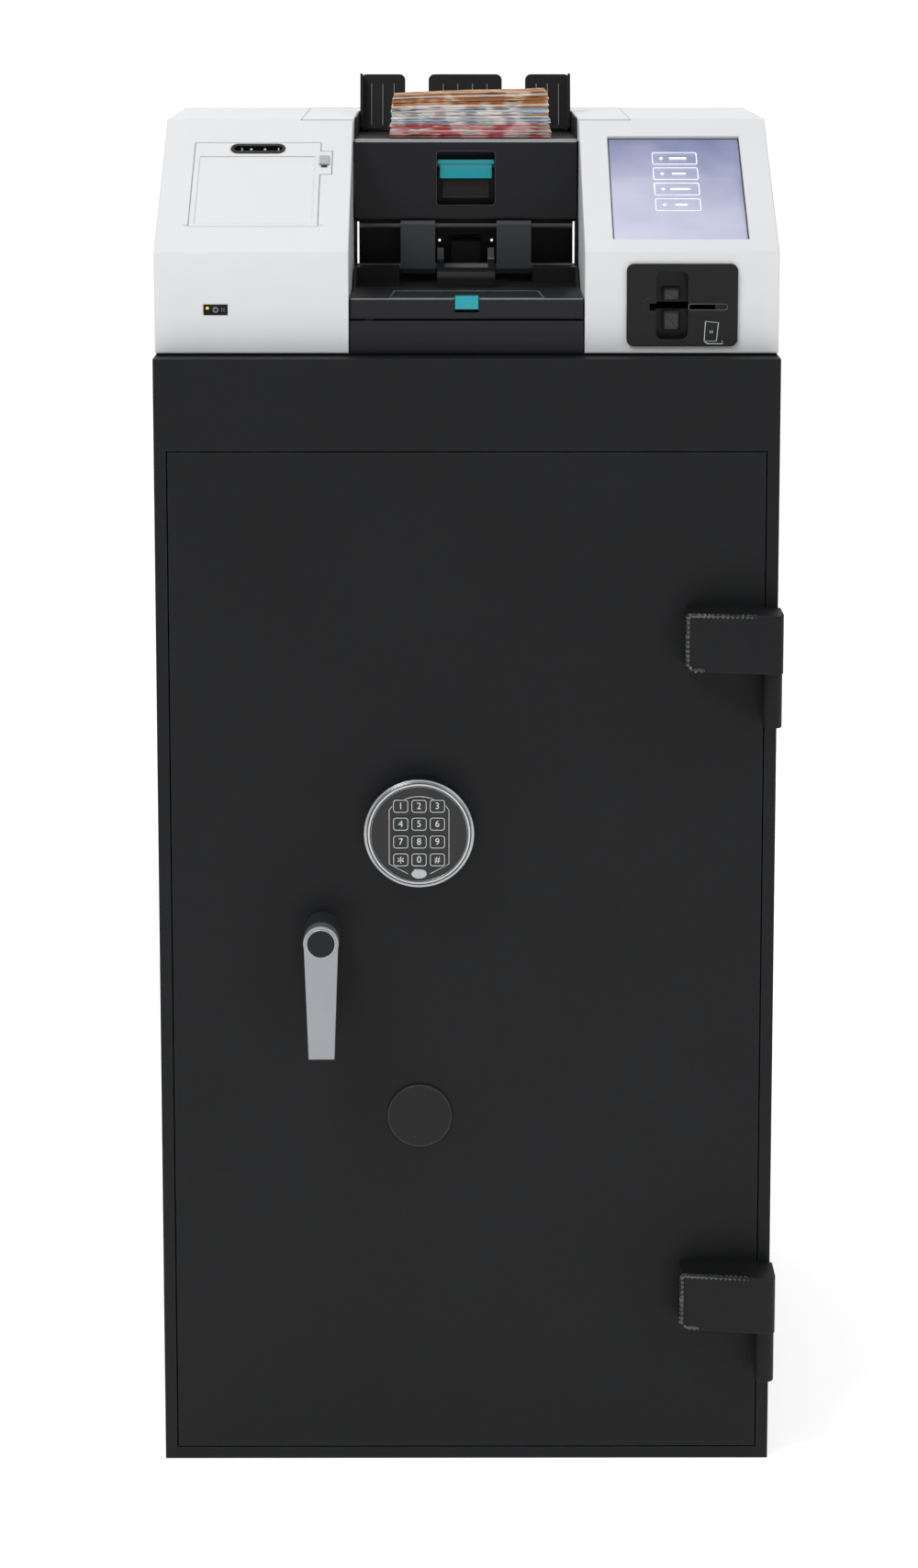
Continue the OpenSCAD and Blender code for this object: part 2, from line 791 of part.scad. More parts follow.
// Printer door, hinged at its lower edge
module printer_door() {
    color(c_white) on_slope() translate([-pod_mid, flap_u, 0]) {
        difference() {
            union() {
                block([-flap_w / 2, 1.5, -shell_t], [flap_w / 2, flap_l, 0]);
                translate([0, 1.5, -1.5]) rod_x(-flap_w / 2, flap_w / 2, 3);
                translate([0, 1.5, -1.5]) rod_x(-flap_w / 2 - 4, flap_w / 2 + 4, flap_pin_d);
                block([ear_x, ear_u, -shell_t], [ear_x + ear_w, ear_u + ear_l, 0]);
            }
            block([-flap_w / 2 + 5, 4.5, -0.6], [flap_w / 2 - 5, mouth_u - 12, eps]);
            translate([0, mouth_u, -shell_t - eps]) linear_extrude(shell_t + 2 * eps)
                round_rect(mouth_w, mouth_h, mouth_h / 2 - 0.1);
            translate([ear_x + ear_w / 2, stem_u, -shell_t - eps])
                block([-stem_w / 2 - 0.2, -stem_l / 2 - latch_travel - slip, 0],
                    [stem_w / 2 + 0.2, stem_l / 2 + slip, shell_t + 2 * eps]);
        }
    }
}

module receipt_mouth() {
    color(c_dark) on_slope() translate([-pod_mid, flap_u + mouth_u, -shell_t]) linear_extrude(shell_t + 0.6)
        difference() {
            round_rect(mouth_w - 0.2, mouth_h - 0.2, mouth_h / 2 - 0.2);
            round_rect(mouth_w - 6, mouth_h - 7, 3.9);
        }
}

module printer_latch() {
    color(c_white) on_slope() translate([-pod_mid + ear_x + ear_w / 2, flap_u + stem_u, 0]) {
        block([-4.6, -6.5, slip], [4.6, 6.5, 1.9]);
        block([-stem_w / 2, -stem_l / 2, -shell_t - slip - eps / 2],
            [stem_w / 2, stem_l / 2, slip + eps / 2]);
        block([-4.3, -5.5, -shell_t - slip - 1.4], [4.3, 5.5, -shell_t - slip]);
    }
}

inlet_w = 47;
inlet_h = 27;
inlet_x = side_x - 100;
inlet_z = base_z + 40;
vent_n = 12;                          // cooling slots in the rear cover
vent_w = 6;
vent_pitch = 14;

module rear_cover() {
    b = atan((top_z - rear_z) / (rear_y - cover_y));
    color(c_white) difference() {
        plate_x(-side_x, side_x)
            polygon([[cover_y, base_z], [cover_y, top_z], [rear_y, rear_z], [rear_y, base_z]]);
        plate_x(-side_x + shell_t, side_x - shell_t)
            polygon([[cover_y - eps, base_z - eps], [cover_y - eps, top_z - shell_t / cos(b)],
                [cover_y, top_z - shell_t / cos(b)],
                [rear_y - shell_t, rear_z + shell_t * tan(b) - shell_t / cos(b)],
                [rear_y - shell_t, base_z - eps]]);
        for (i = [0:vent_n - 1])
            block([-side_x + 60 + i * vent_pitch, rear_y - shell_t - eps, base_z + 22],
                [-side_x + 60 + i * vent_pitch + vent_w, rear_y + eps, base_z + 76]);
        translate([inlet_x, 0, inlet_z]) plate_y(rear_y - shell_t - eps, rear_y + eps)
            square([inlet_w + 0.4, inlet_h + 0.4], center = true);
    }
}

// Mains inlet in the rear cover
module power_inlet() {
    color(c_dark) translate([inlet_x, 0, inlet_z]) {
        difference() {
            union() {
                plate_y(rear_y, rear_y + 2) round_rect(inlet_w + 9, inlet_h + 9, 4);
                plate_y(rear_y - 26, rear_y + eps) square([inlet_w, inlet_h], center = true);
            }
            plate_y(rear_y - 17, rear_y + 3) round_rect(25, 17, 2);
        }
    }
    color(c_metal) translate([inlet_x, 0, inlet_z]) for (pin = [[-7, -2], [7, -2], [0, 3]])
        translate([pin[0], 0, pin[1]]) plate_y(rear_y - 18, rear_y - 4)
            square([2, 4], center = true);
}

// ---- Note module below the upper unit ----

pocket_t = 2.5;
ear_plate_x = 95;                     // plates that carry the tray flap's pins
ear_plate_t = 3;
tray_pin_d = 4;
tray_t = 3;
paddle_pin_d = 5;
wheel_pin_d = 8;
shelf_y0 = tray_y + tray_d + 2;
lip_x = 27;                           // half width of the rounded lip at the shelf's front
lip_h = 15;
lip_r = 7;

module lower_panel() {
    color(c_black) {
        block([-mid_x, head_y, base_z], [mid_x, head_y + 3, tray_z0 - 1.5]);
        block([-mid_x + 14, head_y + 2, base_z], [mid_x - 14, head_y + 22, base_z + 3]);
    }
}

// Side walls, shelf, ledges, lip and back of the pocket where counted notes come out
module pocket_shell() {
    color(c_black) {
        difference() {
            union() {
                both_sides() {
                    plate_x(mid_x - pocket_t, mid_x)
                        polygon([[shelf_y0, base_z], [pocket_y1, base_z], [pocket_y1, paddle_z + 5],
                            [paddle_y - 6, paddle_z + 5], [paddle_y - 6, tray_z1 + 16],
                            [paddle_y - 27, tray_z1 + 16], [shelf_y0, tray_z1 - 1]]);
                    block([62.5, paddle_y - 27, tray_z1 - eps], [mid_x - eps, paddle_y - 7, tray_z1 + 16]);
                    plate_x(ear_plate_x, ear_plate_x + ear_plate_t) {
                        polygon([[tray_pin_y, tray_pin_z - 3], [tray_pin_y + 12, tray_pin_z - 3],
                            [tray_pin_y + 12, base_z], [tray_pin_y + 25, base_z],
                            [tray_pin_y + 25, tray_pin_z + 3], [tray_pin_y, tray_pin_z + 3]]);
                        translate([tray_pin_y, tray_pin_z]) circle(3);
                    }
                    translate([0, tray_pin_y, tray_pin_z])
                        rod_x(ear_plate_x - 5, ear_plate_x + eps, tray_pin_d);
                    block([mid_x - pocket_t - 8, tray_pin_y + 12, base_z],
                        [mid_x - eps, pocket_y1, base_z + 3]);
                }
                block([-mid_x + eps, shelf_y0, tray_z1 - tray_t], [mid_x - eps, pocket_y1, tray_z1]);
                block([-mid_x + eps, pocket_y1 - pocket_t, tray_z1 - eps],
                    [mid_x - eps, pocket_y1, paddle_z + 5]);
                plate_x(-lip_x, lip_x) {
                    polygon([[shelf_y0, tray_z1 - eps], [shelf_y0 + 40, tray_z1 - eps],
                        [shelf_y0 + 40, tray_z1 + lip_h], [shelf_y0 + lip_r, tray_z1 + lip_h],
                        [shelf_y0, tray_z1 + lip_h - lip_r]]);
                    translate([shelf_y0 + lip_r, tray_z1 + lip_h - lip_r]) circle(lip_r);
                }
                plate_x(-14, 14) {
                    polygon([[wheel_y + 8, tray_z1 - eps], [pocket_y1 - eps, tray_z1 - eps],
                        [pocket_y1 - eps, tray_z1 + 39], [wheel_y + 14, tray_z1 + 39],
                        [wheel_y + 8, tray_z1 + 33]]);
                    translate([wheel_y + 14, tray_z1 + 33]) circle(6);
                }
            }
            for (x = [-28, 20])
                block([x, wheel_y - 22, tray_z1 - tray_t - eps], [x + 8, wheel_y + 22, tray_z1 + eps]);
            translate([0, wheel_y, wheel_z]) rod_x(-mid_x - eps, mid_x + eps, wheel_pin_d + 2 * run);
            translate([0, paddle_y, paddle_z]) rod_x(-mid_x - eps, mid_x + eps, paddle_pin_d + 2 * run);
        }
    }
}

wheel_x = 24;
blade_n = 8;

// Shaft with the two finger wheels that lay notes down in the pocket
module stacker_wheels() {
    color(c_metal) translate([0, wheel_y, wheel_z]) rod_x(-mid_x + slip, mid_x - slip, wheel_pin_d);
    color(c_dark) both_sides() translate([0, wheel_y, wheel_z]) {
        plate_x(wheel_x - 3, wheel_x + 3) {
            circle(9);
            for (i = [0:blade_n - 1])
                rotate(i * 360 / blade_n) translate([5, 4]) square([14, 2]);
        }
    }
}

// Two hanging paddles on one shaft that hold the notes back
module pocket_paddles() {
    color(c_black) {
        translate([0, paddle_y, paddle_z]) {
            rod_x(-mid_x + slip, mid_x - slip, paddle_pin_d);
            both_sides() plate_x(29, 61.5)
                polygon([[-1.5, 5], [1.5, 5], [4, 2], [4, -40], [1.5, -45], [-1.5, -45],
                    [-4, -40], [-4, 2]]);
        }
    }
}

tab_w = 21;

// Hinged front tray under the pocket
module tray_flap() {
    color(c_black) difference() {
        union() {
            block([-mid_x, tray_y, tray_z0], [mid_x, tray_y + 3, tray_z1]);
            block([-mid_x, tray_y, tray_z1 - tray_t], [mid_x, tray_y + tray_d, tray_z1]);
            both_sides() plate_x(ear_plate_x - 4.6, ear_plate_x - 0.4) {
                translate([tray_pin_y, tray_pin_z]) circle(4.5);
                polygon([[tray_pin_y - 4.5, tray_pin_z], [tray_pin_y + 4.5, tray_pin_z],
                    [tray_pin_y + 16, tray_z1 - tray_t + eps], [tray_pin_y - 4.5, tray_z1 - tray_t + eps]]);
            }
        }
        both_sides() translate([0, tray_pin_y, tray_pin_z])
            rod_x(ear_plate_x - 6, ear_plate_x, tray_pin_d + 2 * run);
        block([-note_w + 5, tray_y + 6, tray_z1 - 0.8], [note_w - 5, tray_y + 69, tray_z1 + eps]);
        block([-tab_w / 2 - slip, tray_y - eps, tray_z0 + 5.8],
            [tab_w / 2 + slip, tray_y + 6.2, tray_z1 + eps]);
    }
}

module tray_tab() {
    color(c_teal) {
        block([-tab_w / 2, tray_y - 1.4, tray_z0 + 8.8], [tab_w / 2, tray_y + 2.6, tray_z1 + 2.2]);
        block([-tab_w / 2, tray_y - 1.4, tray_z1 - 2], [tab_w / 2, tray_y + 5.9, tray_z1 + 2.2]);
    }
}

// ---- Upper unit: it lifts about the hinge at its back ----

cheek_t = 3;
rim_t = 1.6;
rail_d = 6;
rail_y = floor_y1 - 15;
rail_z = floor_z - 10;
pick_pin_d = 8;
pick_xs = [-53, 39];
pick_w = 14;
guide_y = floor_y1 - 9;               // front of the back guides at the floor
guide_lean = 14;
guide_h = 57;
guide_t = 2.5;
guide_x0 = 58.8;
guide_x1 = mid_x - rim_t - 0.4;
neck_x = 84;
neck_w = 12;
latch_pin_d = 5;

// Front panel with the recess round the release paddle
module upper_panel() {
    back_z0 = grip_z0 + 6;
    color(c_black) difference() {
        union() {
            block([-mid_x, panel_y, panel_z0], [mid_x, panel_y + panel_t, floor_z - floor_t]);
            block([-grip_w / 2 - 2, panel_y, grip_z0 - 2],
                [grip_w / 2 + 2, panel_y + panel_t + grip_depth + 2, grip_z1 + 2]);
        }
        difference() {
            translate([0, 0, (grip_z0 + grip_z1) / 2]) plate_y(panel_y - eps, panel_y + panel_t + grip_depth)
                round_rect(grip_w, grip_z1 - grip_z0, 3);
            block([-22, panel_y + 11, back_z0], [22, back_y, back_z0 + 18]);
        }
        translate([0, latch_y, latch_z]) rod_x(-grip_w, grip_w, latch_pin_d + 2 * run);
    }
}

module unit_latch() {
    color(c_teal) translate([0, latch_y, latch_z]) {
        rod_x(-grip_w / 2 - 1.6, grip_w / 2 + 1.6, latch_pin_d);
        plate_x(-24.5, 24.5)
            polygon([[-11, -12], [-8, -12], [-7, -3], [2, -2.4], [2, 2.4], [-7, 5.5],
                [-11, 5.5], [-10, -3]]);
        plate_x(-26.8, 26.8)
            polygon([[-11, 1.5], [-3, 1.5], [-3, 4], [-7, 5.5], [-11, 5.5]]);
    }
}

// Floor of the note hopper with its side cheeks and the rail of the side guides
module hopper_tray() {
    y0 = panel_y + panel_t;
    color(c_black) difference() {
        union() {
            block([-mid_x, panel_y, floor_z - floor_t], [mid_x, floor_y1, floor_z]);
            both_sides() {
                block([mid_x - cheek_t, y0, pick_z - 16], [mid_x, floor_y1, floor_z - eps]);
                plate_x(mid_x - rim_t, mid_x)
                    polygon([[y0, floor_z - eps], [y0 + 14, top_z + 1], [floor_y1, top_z + 1],
                        [floor_y1, floor_z - eps]]);
            }
            translate([0, rail_y, rail_z]) rod_x(-mid_x + eps, mid_x - eps, rail_d);
        }
        for (x = pick_xs)
            block([x - 1.5, pick_y - pick_d / 2 - 1.5, floor_z - floor_t - eps],
                [x + pick_w + 1.5, pick_y + pick_d / 2 + 1.5, floor_z + eps]);
        both_sides()
            block([neck_x - guide_travel - 1, rail_y - 2.6, floor_z - floor_t - eps],
                [neck_x + neck_w + 1, rail_y + 2.6, floor_z + eps]);
        translate([0, pick_y, pick_z]) rod_x(-mid_x - eps, mid_x + eps, pick_pin_d + 2 * run);
    }
}

module pick_rollers() {
    color(c_metal) translate([0, pick_y, pick_z]) rod_x(-mid_x + slip, mid_x - slip, pick_pin_d);
    color(c_dark) for (x = pick_xs) translate([x, pick_y, pick_z]) rod_x(0, pick_w, pick_d);
}

// A ribbed plate that leans back from the hopper floor
module lean_plate(x0, x1, ribs) {
    mid = (x0 + x1) / 2;
    w = x1 - x0;
    translate([mid, guide_y, floor_z]) rotate([-guide_lean, 0, 0]) {
        translate([0, guide_t, 0]) rotate([90, 0, 0]) linear_extrude(guide_t) {
            translate([0, guide_h / 2]) round_rect(w, guide_h, 6);
            translate([-w / 2, 1]) square([w, 20]);
        }
        for (i = [1:ribs])
            translate([-w / 2 + i * w / (ribs + 1) - 0.8, -1, 3]) cube([1.6, 1.5, guide_h - 12]);
    }
}

module back_guide() {
    color(c_black) difference() {
        lean_plate(-36, 36, 4);
        block([-mid_x, guide_y - 20, floor_z - 10], [mid_x, guide_y + 20, floor_z]);
    }
}

// A side guide on the +X side: leaning back plate, outer flange, neck and slider on the rail
module side_guide() {
    lift = 0.6;                       // clearance over and under the hopper floor
    difference() {
        union() {
            difference() {
                union() {
                    lean_plate(guide_x0, guide_x1, 3);
                    translate([0, guide_y, floor_z]) rotate([-guide_lean, 0, 0])
                        block([guide_x1 - guide_t, -13, 1], [guide_x1, guide_t, guide_h - 2]);
                }
                block([guide_x0 - eps, rail_y, floor_z - 9], [mid_x, back_y, floor_z + lift]);
            }
            block([neck_x, rail_y - 2, floor_z + lift], [neck_x + neck_w, guide_y + 2, floor_z + 4]);
            block([neck_x, rail_y - 2, rail_z], [neck_x + neck_w, rail_y + 2, floor_z + 2]);
            block([neck_x - 2, rail_y - 6, rail_z - 6],
                [neck_x + neck_w + 2, rail_y + 6, floor_z - floor_t - lift]);
        }
        translate([0, rail_y, rail_z]) rod_x(neck_x - 5, neck_x + neck_w + 5, rail_d + 2 * run);
    }
}

module guide_right() {
    color(c_black) side_guide();
}

module guide_left() {
    color(c_black) mirror([1, 0, 0]) side_guide();
}

bundle_n = 4;

// Loaded notes: bundles that lie a little askew on each other
module banknote_stack() {
    bundle_h = stack_h / bundle_n;
    color("#d9b8a0") for (i = [0:bundle_n - 1])
        translate([4 - note_l / 2 + i * 1.5, stack_y + (i % 2), floor_z + 2 * slip + i * bundle_h])
            cube([note_l - i * 3, note_w, bundle_h]);
}

// White hood over both sides and the back of the note module, with the hinge bores
module upper_hood() {
    y0 = bay_y;
    low_z = hinge_uz - 13;
    inner_x = mid_x + 0.6;
    bridge_y = floor_y1;
    color(c_white) difference() {
        plate_x(-hood_x, hood_x) {
            polygon([[y0, low_z], [hinge_uy, low_z], [hinge_uy, top_z], [y0, top_z]]);
            translate([hinge_uy, hinge_uz]) circle(hood_r);
        }
        block([-inner_x, front_y, low_z - eps], [inner_x, bridge_y, top_z + eps]);
        for (x = [-hood_x + hood_t, inner_x + hood_t])
            plate_x(x, x + hood_x - inner_x - 2 * hood_t) hood_hollow(y0 + hood_t, low_z);
        plate_x(-hood_x + hood_t, hood_x - hood_t) hood_hollow(bridge_y + hood_t, low_z);
        block([-hood_x + hood_t, hinge_uy, low_z], [hood_x - hood_t, hinge_uy + hood_r + eps, hinge_uz]);
        both_sides() translate([0, hinge_uy, hinge_uz])
            rod_x(hood_x - hood_t - eps, hood_x + eps, hood_pin_d + 2 * run);
    }
}

module hood_hollow(y0, low_z) {
    polygon([[y0, low_z - eps], [hinge_uy, low_z - eps], [hinge_uy, top_z - hood_t], [y0, top_z - hood_t]]);
    translate([hinge_uy, hinge_uz]) circle(hood_r - hood_t);
}

// ---- What is drawn ----

safe_body();
hinge_barrels();
hinge_pins();
cassette_rack();
note_cassettes();
note_transport();
head_deck();
left_housing();
right_housing();
rear_cover();
power_inlet();
printer_frame();
sensor_window();
screen_glass();
display_module();
card_bezel();
card_reader();
pocket_shell();
lower_panel();
door_plate();
door_pan();
hinge_arms();
cover_disc();
keypad_bezel();
keypad_face();
keypad_board();
lock_case();
handle_lever();
handle_cap();
handle_spindle();
bolt_bar();
key(-1, 0);  // key_1
key(0, 0);  // key_2
key(1, 0);  // key_3
key(-1, 1);  // key_4
key(0, 1);  // key_5
key(1, 1);  // key_6
key(-1, 2);  // key_7
key(0, 2);  // key_8
key(1, 2);  // key_9
key(-1, 3);  // key_star
key(0, 3);  // key_0
key(1, 3);  // key_hash
upper_panel();
hopper_tray();
upper_hood();
back_guide();
unit_latch();
guide_left();
guide_right();
banknote_stack();
pick_rollers();
stacker_wheels();
pocket_paddles();
tray_flap();
tray_tab();
printer_door();
receipt_mouth();
printer_latch();
paper_roll();
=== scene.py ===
"""Looks of the cash recycling teller machine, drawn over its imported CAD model.

Every place starts from the box of a CAD piece, in metres. The CAD pieces keep their
shapes and get finishes here. Small added pieces carry the detail that CAD leaves out:
key figures, weld beads, the picture on the screen, notes and trims.
"""
import math
import random

import bmesh
import bpy
from mathutils import Matrix, Vector


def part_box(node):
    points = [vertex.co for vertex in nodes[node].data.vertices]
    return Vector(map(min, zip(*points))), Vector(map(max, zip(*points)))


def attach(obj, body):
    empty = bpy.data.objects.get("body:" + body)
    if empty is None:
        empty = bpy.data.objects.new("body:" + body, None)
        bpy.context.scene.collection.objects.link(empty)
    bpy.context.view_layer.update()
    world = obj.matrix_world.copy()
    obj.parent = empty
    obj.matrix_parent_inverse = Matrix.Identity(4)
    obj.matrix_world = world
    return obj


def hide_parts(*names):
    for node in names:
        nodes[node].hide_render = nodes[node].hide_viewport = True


MM = 0.001
HAIR = 0.15 * MM  # how far a printed mark stands off the surface below it

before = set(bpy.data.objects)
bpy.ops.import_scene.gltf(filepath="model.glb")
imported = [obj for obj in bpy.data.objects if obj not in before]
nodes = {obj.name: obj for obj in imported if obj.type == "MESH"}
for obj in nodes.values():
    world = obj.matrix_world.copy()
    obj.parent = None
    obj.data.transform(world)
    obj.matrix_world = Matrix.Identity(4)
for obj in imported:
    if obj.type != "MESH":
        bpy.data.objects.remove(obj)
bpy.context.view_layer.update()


def low(node):
    """Lowest corner of a CAD piece."""
    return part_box(node)[0]


def high(node):
    """Highest corner of a CAD piece."""
    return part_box(node)[1]


def middle(node):
    """Middle of a CAD piece's box."""
    return (low(node) + high(node)) / 2


# ---------------------------------------------------------------- finishes


def linear(hex_colour):
    """A web colour as linear red, green, blue and alpha."""
    values = [int(hex_colour[i : i + 2], 16) / 255 for i in (1, 3, 5)]
    curve = [v / 12.92 if v <= 0.04045 else ((v + 0.055) / 1.055) ** 2.4 for v in values]
    return (*curve, 1.0)


def shaded(colour, factor):
    """A linear colour made lighter or darker."""
    return (*(min(c * factor, 1.0) for c in colour[:3]), 1.0)


class Nodes:
    """Adds shader nodes to a new material and joins them up."""

    def __init__(self, name):
        self.material = bpy.data.materials.new(name)
        self.material.use_nodes = True
        self.tree = self.material.node_tree
        self.shader = self.tree.nodes["Principled BSDF"]

    def add(self, kind, **inputs):
        """A new node. An input is a number, a colour or another node's socket."""
        node = self.tree.nodes.new(kind)
        for name, value in inputs.items():
            self.set(node, name.replace("_", " "), value)
        return node

    def feed(self, socket, value):
        """Joins another node's socket to an input, or sets a plain number or colour on it."""
        if isinstance(value, bpy.types.NodeSocket):
            self.tree.links.new(value, socket)
        else:
            socket.default_value = value

    def set(self, node, name, value):
        self.feed(node.inputs[name], value)

    def place(self, stretch):
        """The piece's own coordinates, stretched along each axis."""
        coordinates = self.add("ShaderNodeTexCoord").outputs["Object"]
        mapping = self.add("ShaderNodeMapping", Vector=coordinates, Scale=stretch)
        return mapping.outputs["Vector"]

    def noise(self, scale, detail=2.0, stretch=(1, 1, 1)):
        """Smooth noise over the piece. A larger scale makes it finer."""
        node = self.add(
            "ShaderNodeTexNoise", Vector=self.place(stretch), Scale=scale, Detail=detail
        )
        return node.outputs["Fac"]

    def between(self, value, low_value, high_value, start=0.3, end=0.7):
        """value, which runs from start to end, spread between two new values."""
        node = self.add(
            "ShaderNodeMapRange",
            Value=value,
            From_Min=start,
            From_Max=end,
            To_Min=low_value,
            To_Max=high_value,
        )
        return node.outputs["Result"]

    def mix(self, factor, first, second):
        """The first colour where factor is 0, and the second where it is 1."""
        node = self.tree.nodes.new("ShaderNodeMix")
        node.data_type = "RGBA"
        factor_input, first_input, second_input = (node.inputs[i] for i in (0, 6, 7))
        self.feed(factor_input, factor)
        self.feed(first_input, first)
        self.feed(second_input, second)
        return node.outputs[2]

    def multiply(self, first, second):
        """Two numbers multiplied."""
        node = self.tree.nodes.new("ShaderNodeMath")
        node.operation = "MULTIPLY"
        for socket, value in zip(node.inputs, (first, second)):
            self.feed(socket, value)
        return node.outputs[0]


def finish(
    name,
    colour,
    rough,
    metal=0.0,
    drift=0.08,
    grain=700.0,
    bump=0.12,
    relief=0.2 * MM,
    wear_and_sheen=0.35,
    worn_and_sheen_colour="#8b8d90",
    coat=0.0,
    stretch=(1, 1, 1),
    edge=0.9 * MM,
    shine=0.5,
):
    """A moulded, painted or metal surface.

    drift is the slow change of colour. grain is the fineness of the pattern in roughness
    and bump, and stretch turns that pattern into brush marks. bump is its strength and
    relief its height. edge is how far the corners are rounded off. wear_and_sheen shows
    the lighter edge colour on them, in patches: partly wear and partly a painted highlight
    along the edges. coat is clear lacquer and shine the strength of reflections.
    """
    n = Nodes(name)
    base = linear(colour)
    slow = n.noise(7.0, detail=3.0)
    paint = n.mix(n.between(slow, 0, 1), shaded(base, 1 - drift), shaded(base, 1 + drift))
    rounded = n.add("ShaderNodeBevel", Radius=edge).outputs["Normal"]
    # Edges take the lighter edge colour in patches: partly wear and partly a painted highlight.
    if wear_and_sheen:
        facing = n.tree.nodes.new("ShaderNodeVectorMath")
        facing.operation = "DOT_PRODUCT"
        n.tree.links.new(rounded, facing.inputs[0])
        n.tree.links.new(n.add("ShaderNodeNewGeometry").outputs["Normal"], facing.inputs[1])
        edge_wear_and_sheen = n.between(facing.outputs["Value"], wear_and_sheen, 0.0, start=0.8, end=0.995)
        patchy = n.between(n.noise(60.0), 0.35, 1.0, start=0.4, end=0.6)
        paint = n.mix(n.multiply(edge_wear_and_sheen, patchy), paint, linear(worn_and_sheen_colour))
    n.set(n.shader, "Base Color", paint)
    fine = n.noise(grain, stretch=stretch)
    n.set(n.shader, "Roughness", n.between(fine, max(rough - 0.07, 0.02), min(rough + 0.09, 1.0)))
    raised = n.add(
        "ShaderNodeBump", Strength=bump, Distance=relief, Height=fine, Normal=rounded
    )
    n.set(n.shader, "Normal", raised.outputs["Normal"])
    n.shader.inputs["Metallic"].default_value = metal
    n.shader.inputs["Coat Weight"].default_value = coat
    n.shader.inputs["Coat Roughness"].default_value = 0.12
    n.shader.inputs["Specular IOR Level"].default_value = shine
    return n.material


ALONG_X = (0.02, 1, 1)  # brush marks that run across the machine
ALONG_Z = (1, 1, 0.02)  # brush marks that run up it

safe_paint = finish(
    "safe_paint", "#131416", 0.58,
    drift=0.06, grain=900, bump=0.9, worn_and_sheen_colour="#45474a", edge=1.6 * MM, shine=0.22,
)
panel_paint = finish("panel_paint", "#16171a", 0.42, grain=1800, bump=0.2, worn_and_sheen_colour="#66696d", shine=0.3)
cover_white = finish(
    "cover_white", "#d9dadc", 0.4,
    drift=0.02, grain=1500, bump=0.12, wear_and_sheen=0.3, worn_and_sheen_colour="#f6f6f6", edge=2.2 * MM,
)
bezel_black = finish(
    "bezel_black", "#0f1012", 0.4, grain=1600, bump=0.2, worn_and_sheen_colour="#5d6064", edge=1.2 * MM, shine=0.3
)
inner_black = finish("inner_black", "#0b0c0d", 0.45, grain=1100, bump=0.2, worn_and_sheen_colour="#3c3e41", shine=0.3)
gloss_black = finish("gloss_black", "#040405", 0.14, grain=500, bump=0.03, wear_and_sheen=0.25, coat=0.25, shine=0.3)
bright_steel = finish(
    "bright_steel", "#b5b8bb", 0.27, metal=0.95, grain=900, stretch=ALONG_X, bump=0.1, worn_and_sheen_colour="#e6e8ea"
)
zinc_steel = finish(
    "zinc_steel", "#a2a6a8", 0.42, metal=0.85, drift=0.16, grain=500, bump=0.14, worn_and_sheen_colour="#d0d3d5"
)
dark_steel = finish(
    "dark_steel", "#55585c", 0.38, metal=0.8, grain=800, stretch=ALONG_Z, bump=0.12, worn_and_sheen_colour="#a0a3a6"
)
cast_metal = finish(
    "cast_metal", "#9a9da1", 0.4,
    metal=0.75, drift=0.07, grain=1300, bump=0.3, worn_and_sheen_colour="#d4d6d8", edge=1.8 * MM,
)
# Its edge colour is white: mostly a painted highlight on the chrome's edges.
chrome = finish(
    "chrome", "#9b9ea2", 0.15,
    metal=1.0, grain=900, bump=0.04, wear_and_sheen=0.2, worn_and_sheen_colour="#ffffff", edge=1.5 * MM,
)
board_green = finish("board_green", "#1d4f38", 0.45, drift=0.2, grain=350, bump=0.3, worn_and_sheen_colour="#3c7a5c")
teal = finish("teal", "#0f9ca6", 0.34, drift=0.05, grain=1400, bump=0.12, worn_and_sheen_colour="#5fd2d8")
paper = finish("paper", "#eeece4", 0.85, drift=0.04, grain=2600, bump=0.3, wear_and_sheen=0.0)
light_grey = finish("light_grey", "#a9abae", 0.5, drift=0.05, grain=1500, bump=0.2, worn_and_sheen_colour="#d6d8da")
mid_grey = finish("mid_grey", "#6f7276", 0.5, drift=0.06, grain=1500, bump=0.2, worn_and_sheen_colour="#a6a9ac")
weld_black = finish("weld_black", "#101112", 0.2, grain=300, bump=0.4, wear_and_sheen=0.0, coat=0.9)
charcoal = finish("charcoal", "#303236", 0.45, drift=0.05, grain=1500, bump=0.2, worn_and_sheen_colour="#7c7f83")
print_and_highlight_white = finish("print_and_highlight_white", "#dfe2e4", 0.5, drift=0.04, grain=1800, bump=0.1, wear_and_sheen=0.0)

KEYS = [node for node in nodes if node.startswith("key_")]

FINISHES = {
    safe_paint: "safe_body door_plate hinge_arms hinge_barrels head_deck",
    panel_paint: "upper_panel lower_panel tray_flap",
    charcoal: "pocket_paddles",
    cover_white: "left_housing right_housing printer_door upper_hood rear_cover",
    bezel_black: "printer_frame card_bezel guide_left guide_right back_guide receipt_mouth",
    inner_black: "cover_disc pocket_shell hopper_tray card_reader handle_cap power_inlet pick_rollers",
    gloss_black: "keypad_face screen_glass sensor_window " + " ".join(KEYS),
    bright_steel: "bolt_bar",
    cast_metal: "handle_lever",
    zinc_steel: "cassette_rack door_pan note_transport lock_case",
    dark_steel: "hinge_pins handle_spindle",
    chrome: "keypad_bezel",
    board_green: "keypad_board display_module",
    teal: "unit_latch tray_tab",
    paper: "paper_roll",
    mid_grey: "note_cassettes stacker_wheels",
    print_and_highlight_white: "banknote_stack",
    light_grey: "printer_latch",
}


def dress(node, material):
    """Gives a CAD piece one finish."""
    slots = nodes[node].data.materials
    slots.clear()
    slots.append(material)


for material, names in FINISHES.items():
    for node in names.split():
        dress(node, material)

# ---------------------------------------------------------------- camera and light

